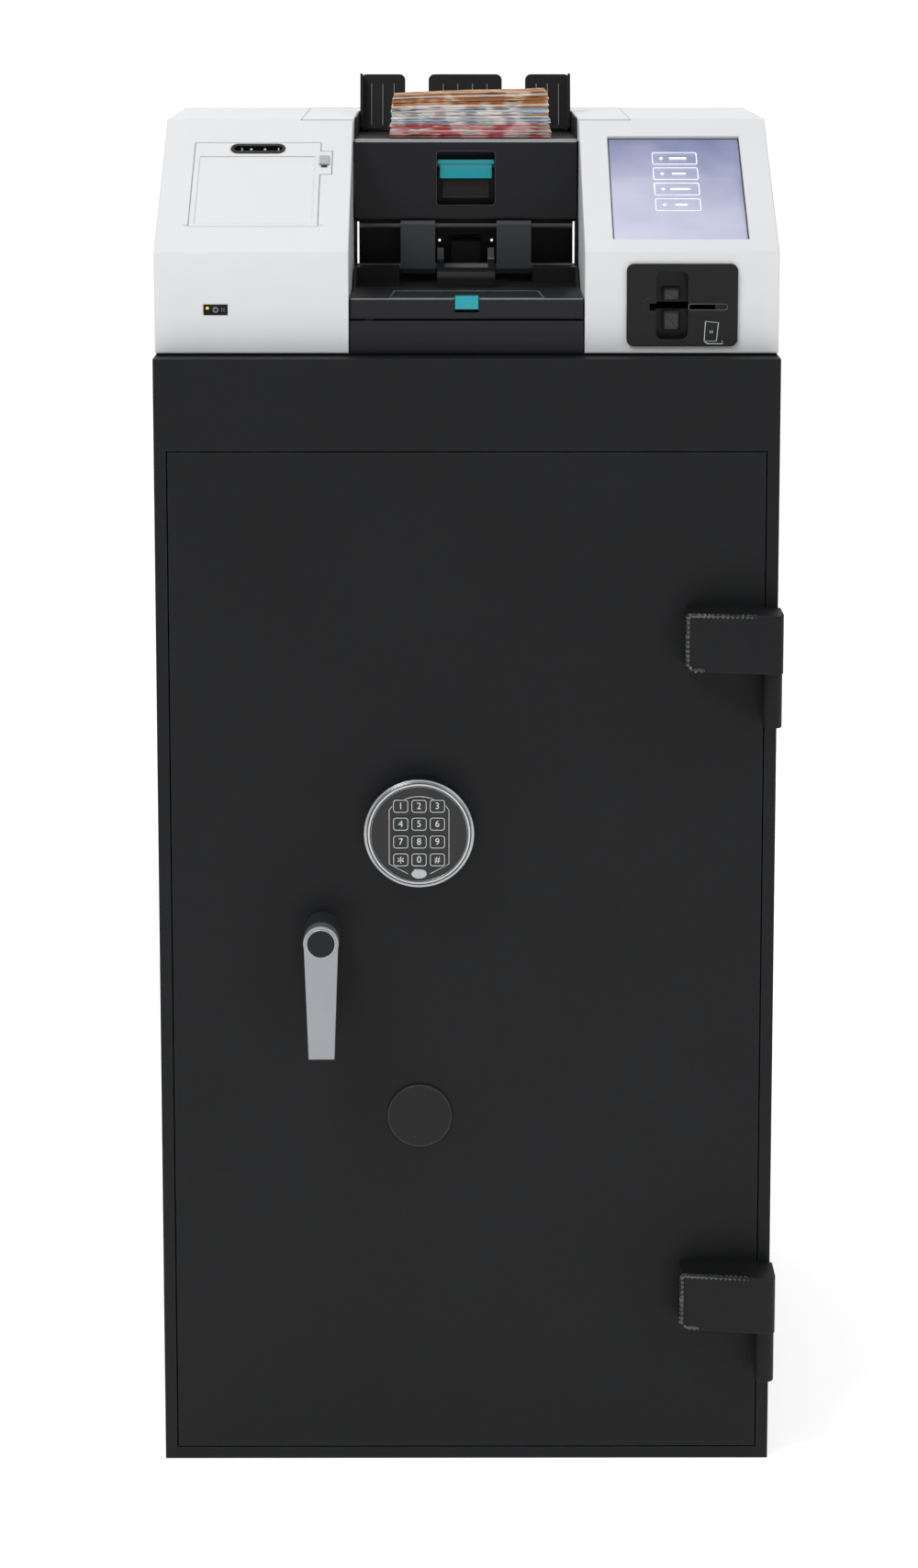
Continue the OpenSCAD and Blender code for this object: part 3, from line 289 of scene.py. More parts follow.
front = low("door_plate").y
AIM = (0, front, 0.7)  # the lights at the front point at this place on the door
EYE_DISTANCE = 3.1  # in front of the door
EYE_HEIGHT = 1.401
EYE_SIDE = -0.0157
LENS = 80.2
DOWN = math.radians(8.06)
TURN = math.radians(-0.16)
LENS_SHIFT = -0.22  # keeps the machine's sides closer to upright


def make_camera():
    """Stands at eye height in front of the machine and looks a little down at it."""
    camera = bpy.data.objects.new("camera", bpy.data.cameras.new("camera"))
    bpy.context.scene.collection.objects.link(camera)
    camera.location = (EYE_SIDE, front - EYE_DISTANCE, EYE_HEIGHT)
    camera.rotation_euler = (math.pi / 2 - DOWN, 0, TURN)
    camera.data.lens = LENS
    camera.data.shift_y = LENS_SHIFT
    camera.data.clip_end = 60
    bpy.context.scene.camera = camera


def make_light(name, place, aim, size, power):
    """A square white soft box at place that points at aim."""
    light = bpy.data.lights.new(name, "AREA")
    light.size = size
    light.energy = power
    lamp = bpy.data.objects.new(name, light)
    lamp.location = place
    lamp.rotation_mode = "QUATERNION"
    lamp.rotation_quaternion = (Vector(aim) - Vector(place)).to_track_quat("-Z", "Y")
    bpy.context.scene.collection.objects.link(lamp)


FLOOR_GLOW = 0.56  # lifts the floor towards white, as in a light tent


def make_floor():
    """A plain pale floor that runs up into a wall far behind."""
    reach, near, far, rise = 9.0, -9.0, 6.0, 7.0
    bend, steps = 2.0, 12
    profile = [(near, 0.0), (far - bend, 0.0)]
    for i in range(steps):
        angle = math.pi / 2 * (i + 1) / steps
        profile.append((far - bend + bend * math.sin(angle), bend - bend * math.cos(angle)))
    profile.append((far, rise))
    verts = [(x, y, z) for x in (-reach, reach) for y, z in profile]
    count = len(profile)
    faces = [(i, i + count, i + count + 1, i + 1) for i in range(count - 1)]
    mesh = bpy.data.meshes.new("floor")
    mesh.from_pydata(verts, [], faces)
    mesh.shade_smooth()
    floor = bpy.data.objects.new("floor", mesh)
    bpy.context.scene.collection.objects.link(floor)
    pale = finish("floor", "#f2f2f2", 0.8, drift=0.01, grain=40, bump=0.02, wear_and_sheen=0.0)
    shader = pale.node_tree.nodes["Principled BSDF"]
    shader.inputs["Emission Color"].default_value = (1, 1, 1, 1)
    shader.inputs["Emission Strength"].default_value = FLOOR_GLOW
    mesh.materials.append(pale)


def make_world():
    """White light that fades from overhead down to the horizon, as under a soft ceiling.

    Seen directly, past the edge of the floor, it is plain white.
    """
    horizon_strength, ceiling_strength = 0.24, 0.4
    ceiling_from = 0.7  # how far up the light has reached its full strength, from 0 to 1
    world = bpy.data.worlds.new("studio")
    world.use_nodes = True
    tree = world.node_tree
    direction = tree.nodes.new("ShaderNodeTexCoord").outputs["Generated"]
    height = tree.nodes.new("ShaderNodeSeparateXYZ")
    fade = tree.nodes.new("ShaderNodeMapRange")
    fade.inputs["From Max"].default_value = ceiling_from
    fade.inputs["To Min"].default_value = horizon_strength
    fade.inputs["To Max"].default_value = ceiling_strength
    tree.links.new(direction, height.inputs[0])
    tree.links.new(height.outputs["Z"], fade.inputs["Value"])
    seen = tree.nodes.new("ShaderNodeLightPath").outputs["Is Camera Ray"]
    brighter = tree.nodes.new("ShaderNodeMath")
    brighter.operation = "MAXIMUM"
    tree.links.new(fade.outputs["Result"], brighter.inputs[0])
    tree.links.new(seen, brighter.inputs[1])
    tree.links.new(brighter.outputs[0], tree.nodes["Background"].inputs["Strength"])
    tree.nodes["Background"].inputs["Color"].default_value = (1, 1, 1, 1)
    bpy.context.scene.world = world


make_camera()
make_world()
make_floor()
bpy.context.scene.view_settings.view_transform = "Standard"
make_light("key_light", (-1.5, front - 1.6, 3.4), AIM, 1.5, 58)
make_light("fill_light", (2.3, front - 1.5, 2.6), AIM, 1.8, 19)
make_light("top_light", (0.0, 0.6, 3.4), (0, 0, 1.1), 2.2, 14)
make_light("low_light", (0.3, front - 3.0, 0.5), (0, front, 1.0), 1.2, 3)

# ---------------------------------------------------------------- building blocks

SHARP_ANGLE = math.radians(35)  # an edge that turns more than this stays sharp


def add_piece(name, mesh, body, slot_name, *materials):
    """A new visible piece that moves with one CAD body."""
    piece = bpy.data.objects.new(name, mesh)
    bpy.context.scene.collection.objects.link(piece)
    for material in materials:
        mesh.materials.append(material)
    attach(piece, body)
    return piece


class Plane:
    """A flat place to draw on: an origin, a direction across and a direction up."""

    def __init__(self, origin, across=(1, 0, 0), up=(0, 0, 1)):
        self.origin = Vector(origin)
        self.across = Vector(across).normalized()
        self.up = Vector(up).normalized()
        self.out = self.across.cross(self.up)

    def point(self, x, y, height=0.0):
        """A place on the plane, or height above it."""
        return self.origin + self.across * x + self.up * y + self.out * height


def round_outline(width, height, radius, steps=6, x=0.0, y=0.0):
    """Corners of a rounded rectangle round (x, y), counter-clockwise."""
    points = []
    for quarter, (sx, sy) in enumerate(((1, 1), (-1, 1), (-1, -1), (1, -1))):
        for i in range(steps + 1):
            angle = math.pi / 2 * (quarter + i / steps)
            points.append(
                (
                    x + sx * (width / 2 - radius) + radius * math.cos(angle),
                    y + sy * (height / 2 - radius) + radius * math.sin(angle),
                )
            )
    return points


def offset(points, distance):
    """A closed outline moved sideways, outwards for a counter-clockwise one."""
    moved = []
    count = len(points)
    for i, (x, y) in enumerate(points):
        before, after = points[i - 1], points[(i + 1) % count]
        along = Vector((after[0] - before[0], after[1] - before[1])).normalized()
        moved.append((x + along.y * distance, y - along.x * distance))
    return moved


def build(draw):
    """A mesh drawn by a function that is given an empty bmesh."""
    made = bmesh.new()
    draw(made)
    bmesh.ops.recalc_face_normals(made, faces=made.faces)
    mesh = bpy.data.meshes.new("piece")
    made.to_mesh(mesh)
    made.free()
    mesh.shade_smooth()
    mesh.set_sharp_from_angle(angle=SHARP_ANGLE)
    return mesh


def slab(made, plane, points, bottom, top, slope=0.0, material=0):
    """A filled outline raised from bottom to top, its rim drawn in by slope."""
    rings = [
        [made.verts.new(plane.point(x, y, bottom)) for x, y in points],
        [made.verts.new(plane.point(x, y, max(top - slope, bottom))) for x, y in points],
        [made.verts.new(plane.point(x, y, top)) for x, y in offset(points, -slope)],
    ]
    faces = [made.faces.new(rings[0][::-1]), made.faces.new(rings[2])]
    count = len(points)
    for first, second in zip(rings, rings[1:]):
        for i in range(count):
            j = (i + 1) % count
            faces.append(made.faces.new((first[i], first[j], second[j], second[i])))
    for face in faces:
        face.material_index = material


def frame_line(made, plane, points, width, bottom, top, material=0):
    """A closed line of even width along an outline."""
    inner, outer = offset(points, -width / 2), offset(points, width / 2)
    rings = [
        [made.verts.new(plane.point(x, y, h)) for x, y in outline]
        for outline, h in ((inner, bottom), (inner, top), (outer, top), (outer, bottom))
    ]
    count = len(points)
    for k in range(4):
        first, second = rings[k], rings[(k + 1) % 4]
        for i in range(count):
            j = (i + 1) % count
            face = made.faces.new((first[i], first[j], second[j], second[i]))
            face.material_index = material


def stroke(made, plane, points, width, bottom, top, material=0):
    """An open line of even width with square ends."""
    count = len(points)
    sides = [[], []]
    for i, (x, y) in enumerate(points):
        before, after = points[max(i - 1, 0)], points[min(i + 1, count - 1)]
        along = Vector((after[0] - before[0], after[1] - before[1])).normalized()
        for side, sign in zip(sides, (1, -1)):
            side.append((x - sign * along.y * width / 2, y + sign * along.x * width / 2))
    slab(made, plane, sides[1] + sides[0][::-1], bottom, top, material=material)


def circle_points(radius, steps=32, x=0.0, y=0.0, start=0.0, sweep=2 * math.pi):
    """Points round a circle, or along part of one."""
    closed = abs(sweep - 2 * math.pi) < 1e-6
    last = steps if closed else steps - 1
    return [
        (x + radius * math.cos(start + sweep * i / last), y + radius * math.sin(start + sweep * i / last))
        for i in range(steps)
    ]


def lettering(name, text, plane, size, body, slot_name, material):
    """One generic figure or sign that stands on a plane, centred on its origin."""
    curve = bpy.data.curves.new(name, "FONT")
    curve.body = text
    curve.size = size
    curve.extrude = HAIR / 2
    curve.align_x = "CENTER"
    curve.align_y = "CENTER"
    source = bpy.data.objects.new(name + "_text", curve)
    bpy.context.scene.collection.objects.link(source)
    bpy.context.view_layer.update()
    shape = source.evaluated_get(bpy.context.evaluated_depsgraph_get())
    mesh = bpy.data.meshes.new_from_object(shape)
    bpy.data.objects.remove(source)
    rotation = Matrix((plane.across, plane.up, plane.out)).transposed().to_4x4()
    mesh.transform(Matrix.Translation(plane.point(0, 0, HAIR / 2)) @ rotation)
    mesh.materials.clear()
    return add_piece(name, mesh, body, slot_name, material)


def tube(made, path, radii, sides=10, material=0):
    """A closed round bar along a path, with a radius at each point."""
    turns = [2 * math.pi * k / sides for k in range(sides)]
    rings = []
    for i, point in enumerate(path):
        before, after = path[max(i - 1, 0)], path[min(i + 1, len(path) - 1)]
        along = (after - before).normalized()
        side = side - along * side.dot(along) if rings else along.orthogonal()
        side.normalize()
        other = along.cross(side)
        spokes = [side * math.cos(turn) + other * math.sin(turn) for turn in turns]
        rings.append([made.verts.new(point + spoke * radii[i]) for spoke in spokes])
    faces = [made.faces.new(rings[0]), made.faces.new(rings[-1])]
    for first, second in zip(rings, rings[1:]):
        for k in range(sides):
            j = (k + 1) % sides
            faces.append(made.faces.new((first[k], first[j], second[j], second[k])))
    for face in faces:
        face.material_index = material


def glowing(name, colour, strength):
    """A small lamp, a lit picture, or a painted glow on a part that is no lamp: its own light over a
    glossy surface.
    """
    n = Nodes(name)
    base = linear(colour)
    spread = n.mix(n.between(n.noise(40.0), 0, 1), shaded(base, 0.85), shaded(base, 1.15))
    n.set(n.shader, "Base Color", spread)
    n.set(n.shader, "Emission Color", spread)
    n.shader.inputs["Emission Strength"].default_value = strength
    n.shader.inputs["Roughness"].default_value = 0.25
    return n.material


# ---------------------------------------------------------------- keypad

SIGNS = {"key_star": "*", "key_hash": "#"}


def half_width(node):
    """Half of a CAD piece's width, which is the radius of a round one."""
    return (high(node).x - low(node).x) / 2


def front_plane(node):
    """The front of a CAD piece, with its middle as the origin."""
    centre = middle(node)
    return Plane((centre.x, low(node).y, centre.z))


def draw_keys():
    """A white outline and a figure on each key. The star is small, so it is drawn larger."""
    figure_size, star_size, star_drop = 8.6 * MM, 14 * MM, 3 * MM
    for node in KEYS:
        plane = front_plane(node)
        size = high(node) - low(node)
        ring = round_outline(size.x - 1 * MM, size.z - 1 * MM, 2.3 * MM)
        outline = build(lambda made: frame_line(made, plane, ring, 0.55 * MM, 0, HAIR))
        add_piece(node + "_outline", outline, node, "white_cover", print_and_highlight_white)
        sign = SIGNS.get(node, node[-1])
        figure = figure_size
        if sign == "*":
            figure = star_size
            plane.origin.z -= star_drop
        lettering(node + "_figure", sign, plane, figure, node, "white_cover", print_and_highlight_white)


def draw_keypad_marks():
    """The thin line round the keys, two small lamps and a plain oval badge."""
    plane = front_plane("keypad_face")
    side, shoulder, foot, arc_radius = 27 * MM, 26 * MM, -37 * MM, 34.5 * MM
    arc = circle_points(arc_radius, steps=15, start=math.radians(122), sweep=-math.radians(64))
    left_line = [(-10 * MM, foot), (-side, -28 * MM), (-side, shoulder - 4 * MM), (-24 * MM, shoulder)]
    right_line = [(-x, y) for x, y in left_line][::-1]
    badge_half, flatness = 7.4 * MM, 0.66
    badge = [(x, y * flatness + foot) for x, y in circle_points(badge_half, steps=40)]

    def draw(made):
        for line in (left_line, arc, right_line):
            stroke(made, plane, line, 0.5 * MM, 0, HAIR)
        slab(made, plane, badge, 0, 0.7 * MM, slope=0.5 * MM, material=1)
        for lamp, y in enumerate((14 * MM, 15.6 * MM)):
            slab(made, plane, circle_points(0.8 * MM, 14, -side, y), 0, 0.3 * MM, 0.15 * MM, 2 + lamp)

    add_piece(
        "keypad_marks", build(draw), "door", "white_cover",
        print_and_highlight_white, chrome, glowing("lamp_red", "#d23a34", 0.5), glowing("lamp_blue", "#3d6fd0", 0.5),
    )


def draw_rings():
    """Painted reflections on the keypad's ring, dark lines and a pale crest; a ring round the cap; a
    painted highlight ring on the disc.
    """
    plane = front_plane("keypad_bezel")
    face = half_width("keypad_face")
    buried = -0.1 * MM  # a ring starts this far inside the face it lies on
    # On the chrome ring the pale crest is a painted highlight and the dark lines are painted dark
    # reflections.
    pale, dark = 0, 1
    rings = (
        (0.9 * MM, 0.9 * MM, 0.12 * MM, dark),
        (2.3 * MM, 0.7 * MM, 0.3 * MM, pale),
        (3.6 * MM, 1.0 * MM, 0.12 * MM, dark),
    )

    def draw_bezel(made):
        for beyond, width, top, colour in rings:
            frame_line(made, plane, circle_points(face + beyond, 72), width, buried, top, colour)

    add_piece("keypad_ring_reflections", build(draw_bezel), "door", "chrome_ring", print_and_highlight_white, gloss_black)
    cap = front_plane("handle_cap")
    cap_edge = circle_points(half_width("handle_cap") + 0.3 * MM, 56)

    def draw_cap(made):
        frame_line(made, cap, cap_edge, 0.9 * MM, -1.1 * MM, -0.05 * MM)

    add_piece("handle_ring", build(draw_cap), "handle", "chrome_ring", bright_steel)
    # A charcoal ring just inside the disc's rim: a painted highlight on its edge.
    cover = front_plane("cover_disc")
    cover_highlight_edge = circle_points(half_width("cover_disc") - 1.2 * MM, 72)

    def draw_cover(made):
        frame_line(made, cover, cover_highlight_edge, 0.5 * MM, buried, 0.15 * MM)

    add_piece("cover_disc_highlight_ring", build(draw_cover), "door", "safe_paint", charcoal)


draw_keys()
draw_keypad_marks()
draw_rings()

# ---------------------------------------------------------------- screen and card slot

SLOPE = math.radians(32.5)
UP_SLOPE = (0, math.cos(SLOPE), math.sin(SLOPE))


def slope_plane(node, thickness):
    """The upper face of a CAD slab on the slope, from the middle of its lower edge."""
    corner = low(node)
    return Plane((middle(node).x, corner.y, corner.z + thickness * math.cos(SLOPE)), up=UP_SLOPE)


def screen_colours():
    """A lit lavender picture that is paler towards one corner."""
    n = Nodes("screen_picture")
    place = n.add("ShaderNodeTexCoord").outputs["Generated"]
    ramp = n.tree.nodes.new("ShaderNodeTexGradient")
    mapping = n.add("ShaderNodeMapping", Vector=place, Rotation=(0, 0, math.radians(-58)))
    n.tree.links.new(mapping.outputs["Vector"], ramp.inputs["Vector"])
    base = n.mix(n.between(ramp.outputs["Fac"], 0, 1, 0.0, 1.0), linear("#b4b4cc"), linear("#6a739f"))
    cloud = n.mix(n.between(n.noise(16.0), 0.0, 0.22), base, linear("#dcdcea"))
    n.set(n.shader, "Base Color", cloud)
    n.set(n.shader, "Emission Color", cloud)
    n.shader.inputs["Emission Strength"].default_value = 0.2
    n.shader.inputs["Roughness"].default_value = 0.16
    n.shader.inputs["Coat Weight"].default_value = 0.5
    return n.material


def draw_screen():
    """The lit picture: four outlined buttons, each with a dot and a plain bar for its word."""
    plane = slope_plane("screen_glass", 1.6 * MM)
    glass = high("screen_glass") - low("screen_glass")
    lap, margin = 4 * MM, 2.4 * MM  # the housing laps the glass, and a dark margin shows inside it
    width = glass.x - 2 * lap
    length = glass.y / math.cos(SLOPE) - 2 * lap - 1 * MM
    picture = round_outline(width - margin, length - margin, 1 * MM, y=lap + length / 2)
    add_piece(
        "screen_picture",
        build(lambda made: slab(made, plane, picture, 0, HAIR)),
        "frame", "screen", screen_colours(),
    )
    button_w, button_h, pitch = 41 * MM, 18 * MM, 24 * MM
    first = lap + length - 31 * MM
    word_widths = [width * MM for width in (16.25, 13.125, 18.75, 11.25)]

    def draw(made):
        for i, word_width in enumerate(word_widths):
            y = first - i * pitch
            ring = round_outline(button_w, button_h, 1.6 * MM, y=y)
            word = round_outline(word_width, 2.6 * MM, 1.2 * MM, x=3 * MM, y=y)
            dot = circle_points(1.7 * MM, 20, -12.5 * MM, y)
            frame_line(made, plane, ring, 0.6 * MM, HAIR, 2 * HAIR)
            slab(made, plane, word, HAIR, 2 * HAIR)
            slab(made, plane, dot, HAIR, 2 * HAIR)

    add_piece("screen_buttons", build(draw), "frame", "screen", glowing("screen_lines", "#f4f4fb", 0.6))


BEZEL_PROUD = 3.7 * MM  # how far the raised rim stands out from the housing
RIM_HEIGHT = 1.2 * MM  # and how far it stands out from the bezel's flat
RECESS_DEPTH = 14 * MM
RECESS_SIDE = -9.2 * MM  # the finger recess lies this far beside the bezel's middle
SLOT_BELOW = 1.5 * MM


def draw_card_slot():
    """The guide blocks in the finger recess, the slot's lip and the card sign."""
    rim = front_plane("card_bezel")
    guide_w, guide_corner, guide_height = 16.5 * MM, 2 * MM, 7 * MM
    upper = round_outline(guide_w, 12 * MM, guide_corner, x=RECESS_SIDE, y=8.5 * MM)
    lower = round_outline(guide_w, 18 * MM, guide_corner, x=RECESS_SIDE, y=-15.5 * MM)
    floor = -BEZEL_PROUD - RECESS_DEPTH
    slot_edge = round_outline(35 * MM, 5.4 * MM, 2.4 * MM, x=23 * MM, y=-SLOT_BELOW)

    def draw_guides(made):
        for block in (upper, lower):
            slab(made, rim, block, floor, floor + guide_height, slope=2.2 * MM)

    def draw_lip(made):
        frame_line(made, rim, slot_edge, 0.9 * MM, -0.2 * MM, 0.25 * MM)

    add_piece("card_guides", build(draw_guides), "frame", "black_plastic", charcoal)
    add_piece("card_slot_lip", build(draw_lip), "frame", "black_plastic", dark_steel)

    sign = Plane(rim.point(27.5 * MM, -24 * MM, -RIM_HEIGHT))
    line_w = 0.75 * MM
    card = [(x * MM, y * MM) for x, y in ((5.2, 8.2), (3.4, -8.4), (-7.6, -8.4), (-6.5, 9.4))]
    fold = [(x * MM, y * MM) for x, y in ((-7.6, -8.4), (-4.4, -10.8), (9.2, -10.8), (8.4, -8.2))]
    arcs = [circle_points(1.4 * MM, 5, x, start=-1.0, sweep=2.0) for x in (-3.4 * MM, -1.6 * MM)]

    def draw_sign(made):
        frame_line(made, sign, card, line_w, 0, HAIR)
        stroke(made, sign, fold, line_w, 0, HAIR)
        for arc in arcs:
            stroke(made, sign, arc, 0.6 * MM, 0, HAIR)

    add_piece("card_sign", build(draw_sign), "frame", "white_cover", print_and_highlight_white)


def draw_sensor():
    """A round lens, a small yellow lamp and two grey bars on the dark window."""
    plane = front_plane("sensor_window")
    mount, lens = circle_points(2.7 * MM, 28), circle_points(1.3 * MM, 20)
    lamp = round_outline(2.6 * MM, 2.2 * MM, 0.4 * MM, x=-7.4 * MM, y=1.6 * MM)
    grey, black, yellow = 0, 1, 2

    def draw(made):
        slab(made, plane, mount, 0, 0.35 * MM, 0.2 * MM, grey)
        slab(made, plane, lens, 0.35 * MM, 0.6 * MM, 0.2 * MM, black)
        slab(made, plane, lamp, 0, 0.3 * MM, 0.1 * MM, yellow)
        for x in (5.6 * MM, 7.6 * MM):
            slab(made, plane, round_outline(0.7 * MM, 4.2 * MM, 0.2 * MM, x=x), 0, 0.2 * MM, material=grey)

    add_piece(
        "sensor_parts", build(draw), "frame", "gloss_black",
        mid_grey, gloss_black, glowing("lamp_yellow", "#f0b32c", 0.9),
    )


MOUTH_LENGTH = 14.8 * MM


def draw_receipt_marks():
    """A gloss black floor in the receipt mouth, with two pale dots and two pale arcs."""
    plane = slope_plane("receipt_mouth", 3.6 * MM)
    y = MOUTH_LENGTH / 2
    mouth = round_outline(43.5 * MM, 7.2 * MM, 3.4 * MM, y=y)

    bottom, floor, mark_top = -2.6 * MM, -1.4 * MM, -1.2 * MM
    dark, pale = 0, 1

    def draw(made):
        slab(made, plane, mouth, bottom, floor, material=dark)
        for x in (-6.4 * MM, 6.4 * MM):
            slab(made, plane, circle_points(1.15 * MM, 20, x, y), floor, mark_top, material=pale)
        for x in (-17 * MM, 17 * MM):
            arc = circle_points(2.4 * MM, 9, x, y, start=-1.0, sweep=2.0)
            stroke(made, plane, arc, 0.6 * MM, floor, mark_top, material=pale)

    add_piece("receipt_marks", build(draw), "printer_lid", "black_plastic", gloss_black, print_and_highlight_white)


draw_screen()
draw_card_slot()
draw_sensor()
draw_receipt_marks()

# ---------------------------------------------------------------- weld beads on the hinge arms


def draw_welds():
    """A rippled bead along the top edge, the free side and the lower corner of each arm."""
    start, end = low("hinge_arms"), high("hinge_arms")
    arm_h, lean, bead_step, bead_radius = 53 * MM, 15 * MM, 1.1 * MM, 2.5 * MM
    left, right = start.x, end.x
    run = 13.4 * MM  # how much nearer the front the arm's hinge end stands than its free end

    def front_at(x):
        """Front of the arm at a place across it."""
        return start.y + lean - (x - left) / (right - left) * run

    random.seed(7)
    for label, base in (("lower", start.z), ("upper", end.z - arm_h)):
        top = base + arm_h
        stops = [
            Vector((right - 24 * MM, front_at(right - 24 * MM), top - 1.6 * MM)),
            Vector((left + 3 * MM, front_at(left + 3 * MM), top - 1.6 * MM)),
            Vector((left + 1.2 * MM, front_at(left), top - 4 * MM)),
            Vector((left + 1.2 * MM, front_at(left), base + 6 * MM)),
            Vector((left + 5 * MM, front_at(left + 5 * MM), base + 1.8 * MM)),
            Vector((left + 18 * MM, front_at(left + 18 * MM), base + 1.6 * MM)),
        ]
        path, radii = [], []
        for first, second in zip(stops, stops[1:]):
            steps = max(int((second - first).length / bead_step), 1)
            for i in range(steps):
                path.append(first.lerp(second, i / steps))
                ripple = 0.5 * math.sin(len(path) * 1.6) + 0.35 * random.random()
                radii.append(bead_radius + ripple * MM)
        add_piece(
            "weld_bead_" + label,
            build(lambda made: tube(made, path, radii, sides=8)),
            "door", "safe_paint", weld_black,
        )


draw_welds()

# ---------------------------------------------------------------- banknotes


def printed_note(name, ground, first, second):
    """Paper with soft patches and fine lines in two inks, and no picture of any kind."""
    n = Nodes(name)
    patches = n.mix(n.between(n.noise(55.0, detail=1.0), 0, 1, 0.42, 0.56), linear(ground), linear(first))
    lines = n.noise(260.0, detail=1.0, stretch=(0.25, 1, 2.4))
    ink = n.mix(n.between(lines, 0, 1, 0.52, 0.62), patches, linear(second))
    n.set(n.shader, "Base Color", ink)
    fibres = n.noise(2400.0)
    n.set(n.shader, "Roughness", n.between(fibres, 0.72, 0.9))
    raised = n.add("ShaderNodeBump", Strength=0.3, Distance=0.1 * MM, Height=fibres)
    n.set(n.shader, "Normal", raised.outputs["Normal"])
    return n.material


NOTE_PRINTS = [
    printed_note("note_pink", "#efb7b4", "#c8545c", "#8fb59a"),
    printed_note("note_red", "#e7a3a0", "#b93d48", "#e9d7cf"),
    printed_note("note_blue", "#e3e8ee", "#8fb7d6", "#4f86b4"),
    printed_note("note_white", "#f0ede6", "#d9cfc2", "#b9c4cd"),
    printed_note("note_orange", "#f2d9bd", "#e0914f", "#c96a3a"),
    printed_note("note_tan", "#d8b48a", "#a0693f", "#6e4a33"),
]
# Which print each share of the pile shows, from the bottom up.
NOTE_ORDER = (0, 1, 0, 3, 1, 0, 1, 0, 2, 3, 2, 3, 4, 2, 3, 2, 4, 3, 4, 5, 4, 5, 3, 5)
SHEETS = 48  # each drawn sheet stands for a few real notes


def draw_sheet(made, corner, size, turn, lift, material):
    """One note: a thin closed slab, turned a little and raised along its length by lift(x)."""
    steps = 14
    centre = corner + size / 2
    rotation = Matrix.Rotation(turn, 3, "Z")
    rows = []
    for k in (0, 1):
        for j in (0, 1):
            row = []
            for i in range(steps + 1):
                x = (i / steps - 0.5) * size.x
                local = rotation @ Vector((x, (j - 0.5) * size.y, 0))
                height = corner.z + k * size.z + lift(i / steps)
                row.append(made.verts.new((centre.x + local.x, centre.y + local.y, height)))
            rows.append(row)
    near_low, far_low, near_top, far_top = rows
    faces = [
        made.faces.new((near_low[0], near_top[0], far_top[0], far_low[0])),
        made.faces.new((near_low[-1], far_low[-1], far_top[-1], near_top[-1])),
    ]
    around = (near_low, near_top, far_top, far_low, near_low)
    for i in range(steps):
        for first, second in zip(around, around[1:]):
            faces.append(made.faces.new((first[i], first[i + 1], second[i + 1], second[i])))
    for face in faces:
        face.material_index = material


def draw_notes():
    """A pile of loose notes. The higher ones curl up more towards the right."""
    start, end = low("banknote_stack"), high("banknote_stack")
    pitch = (end.z - start.z) / SHEETS
    thickness = 0.86 * pitch
    depth = end.y - start.y - 2.4 * MM
    random.seed(21)

    def draw(made):
        for i in range(SHEETS):
            share = i / SHEETS
            inset = 3.2 * MM * share + random.uniform(0.2, 2.2) * MM
            side = random.uniform(-0.6, 1.0) * MM
            size = Vector((end.x - start.x - 2 * inset, depth, thickness))
            setback = random.uniform(0.2, 2.2) * MM
            corner = Vector((start.x + inset + side, start.y + setback, start.z + i * pitch))
            phase = random.uniform(-0.25, 0.25)

            def lift(t, share=share, phase=phase):
                return (5.5 * share * share * t + 0.5 * share * math.sin(5 * t + phase)) * MM

            turn = math.radians(random.uniform(-0.7, 0.7))
            kind = NOTE_ORDER[int(share * len(NOTE_ORDER))]
            draw_sheet(made, corner, size, turn, lift, kind)

    notes = add_piece("loose_notes", build(draw), "notes", "notes", *NOTE_PRINTS)
    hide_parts("banknote_stack")


draw_notes()

# ---------------------------------------------------------------- note module

light_strip = glowing("light_strip", "#f2f5f7", 0.9)
FLOOR_THICK = 3.4 * MM
hopper_z = high("upper_panel").z + FLOOR_THICK


def draw_pocket():
    """Lit strips beside the pocket, and the small bars and pins of its sensors, which glow too though they
    are no lamps: painted glow.
    """
    shell_low, shell_high = low("pocket_shell"), high("pocket_shell")
    wall = 2.5 * MM
    strip_front = middle("pocket_paddles").y - 6 * MM
    bottom, top = shell_low.z + 66.5 * MM, shell_high.z - 0.5 * MM
    strip = round_outline(1.6 * MM, top - bottom, 0.4 * MM)

    def draw_strips(made):
        for side in (-1, 1):
            x = side * (shell_high.x - wall - 0.9 * MM)
            plane = Plane((x, strip_front, (bottom + top) / 2))
            slab(made, plane, strip, -2 * MM, 0, 0.2 * MM)

    add_piece("pocket_light_strips", build(draw_strips), "frame", "white_cover", light_strip)
    back = Plane((0, shell_high.y - wall, shell_high.z - 10 * MM))

    def draw_marks(made):
        for side in (-1, 1):
            bar = round_outline(8.5 * MM, 1.3 * MM, 0.5 * MM, x=side * 11 * MM, y=1 * MM)
            pin = circle_points(1.2 * MM, 16, side * 25 * MM, -13 * MM)
            slab(made, back, bar, 0, 0.5 * MM)
            slab(made, back, pin, 0, 3 * MM, 0.5 * MM)

    # The sensor bars and pins take the lamp finish: a painted glow on parts that are no lamps.
    add_piece("pocket_sensor_painted_glow", build(draw_marks), "frame", "white_cover", light_strip)


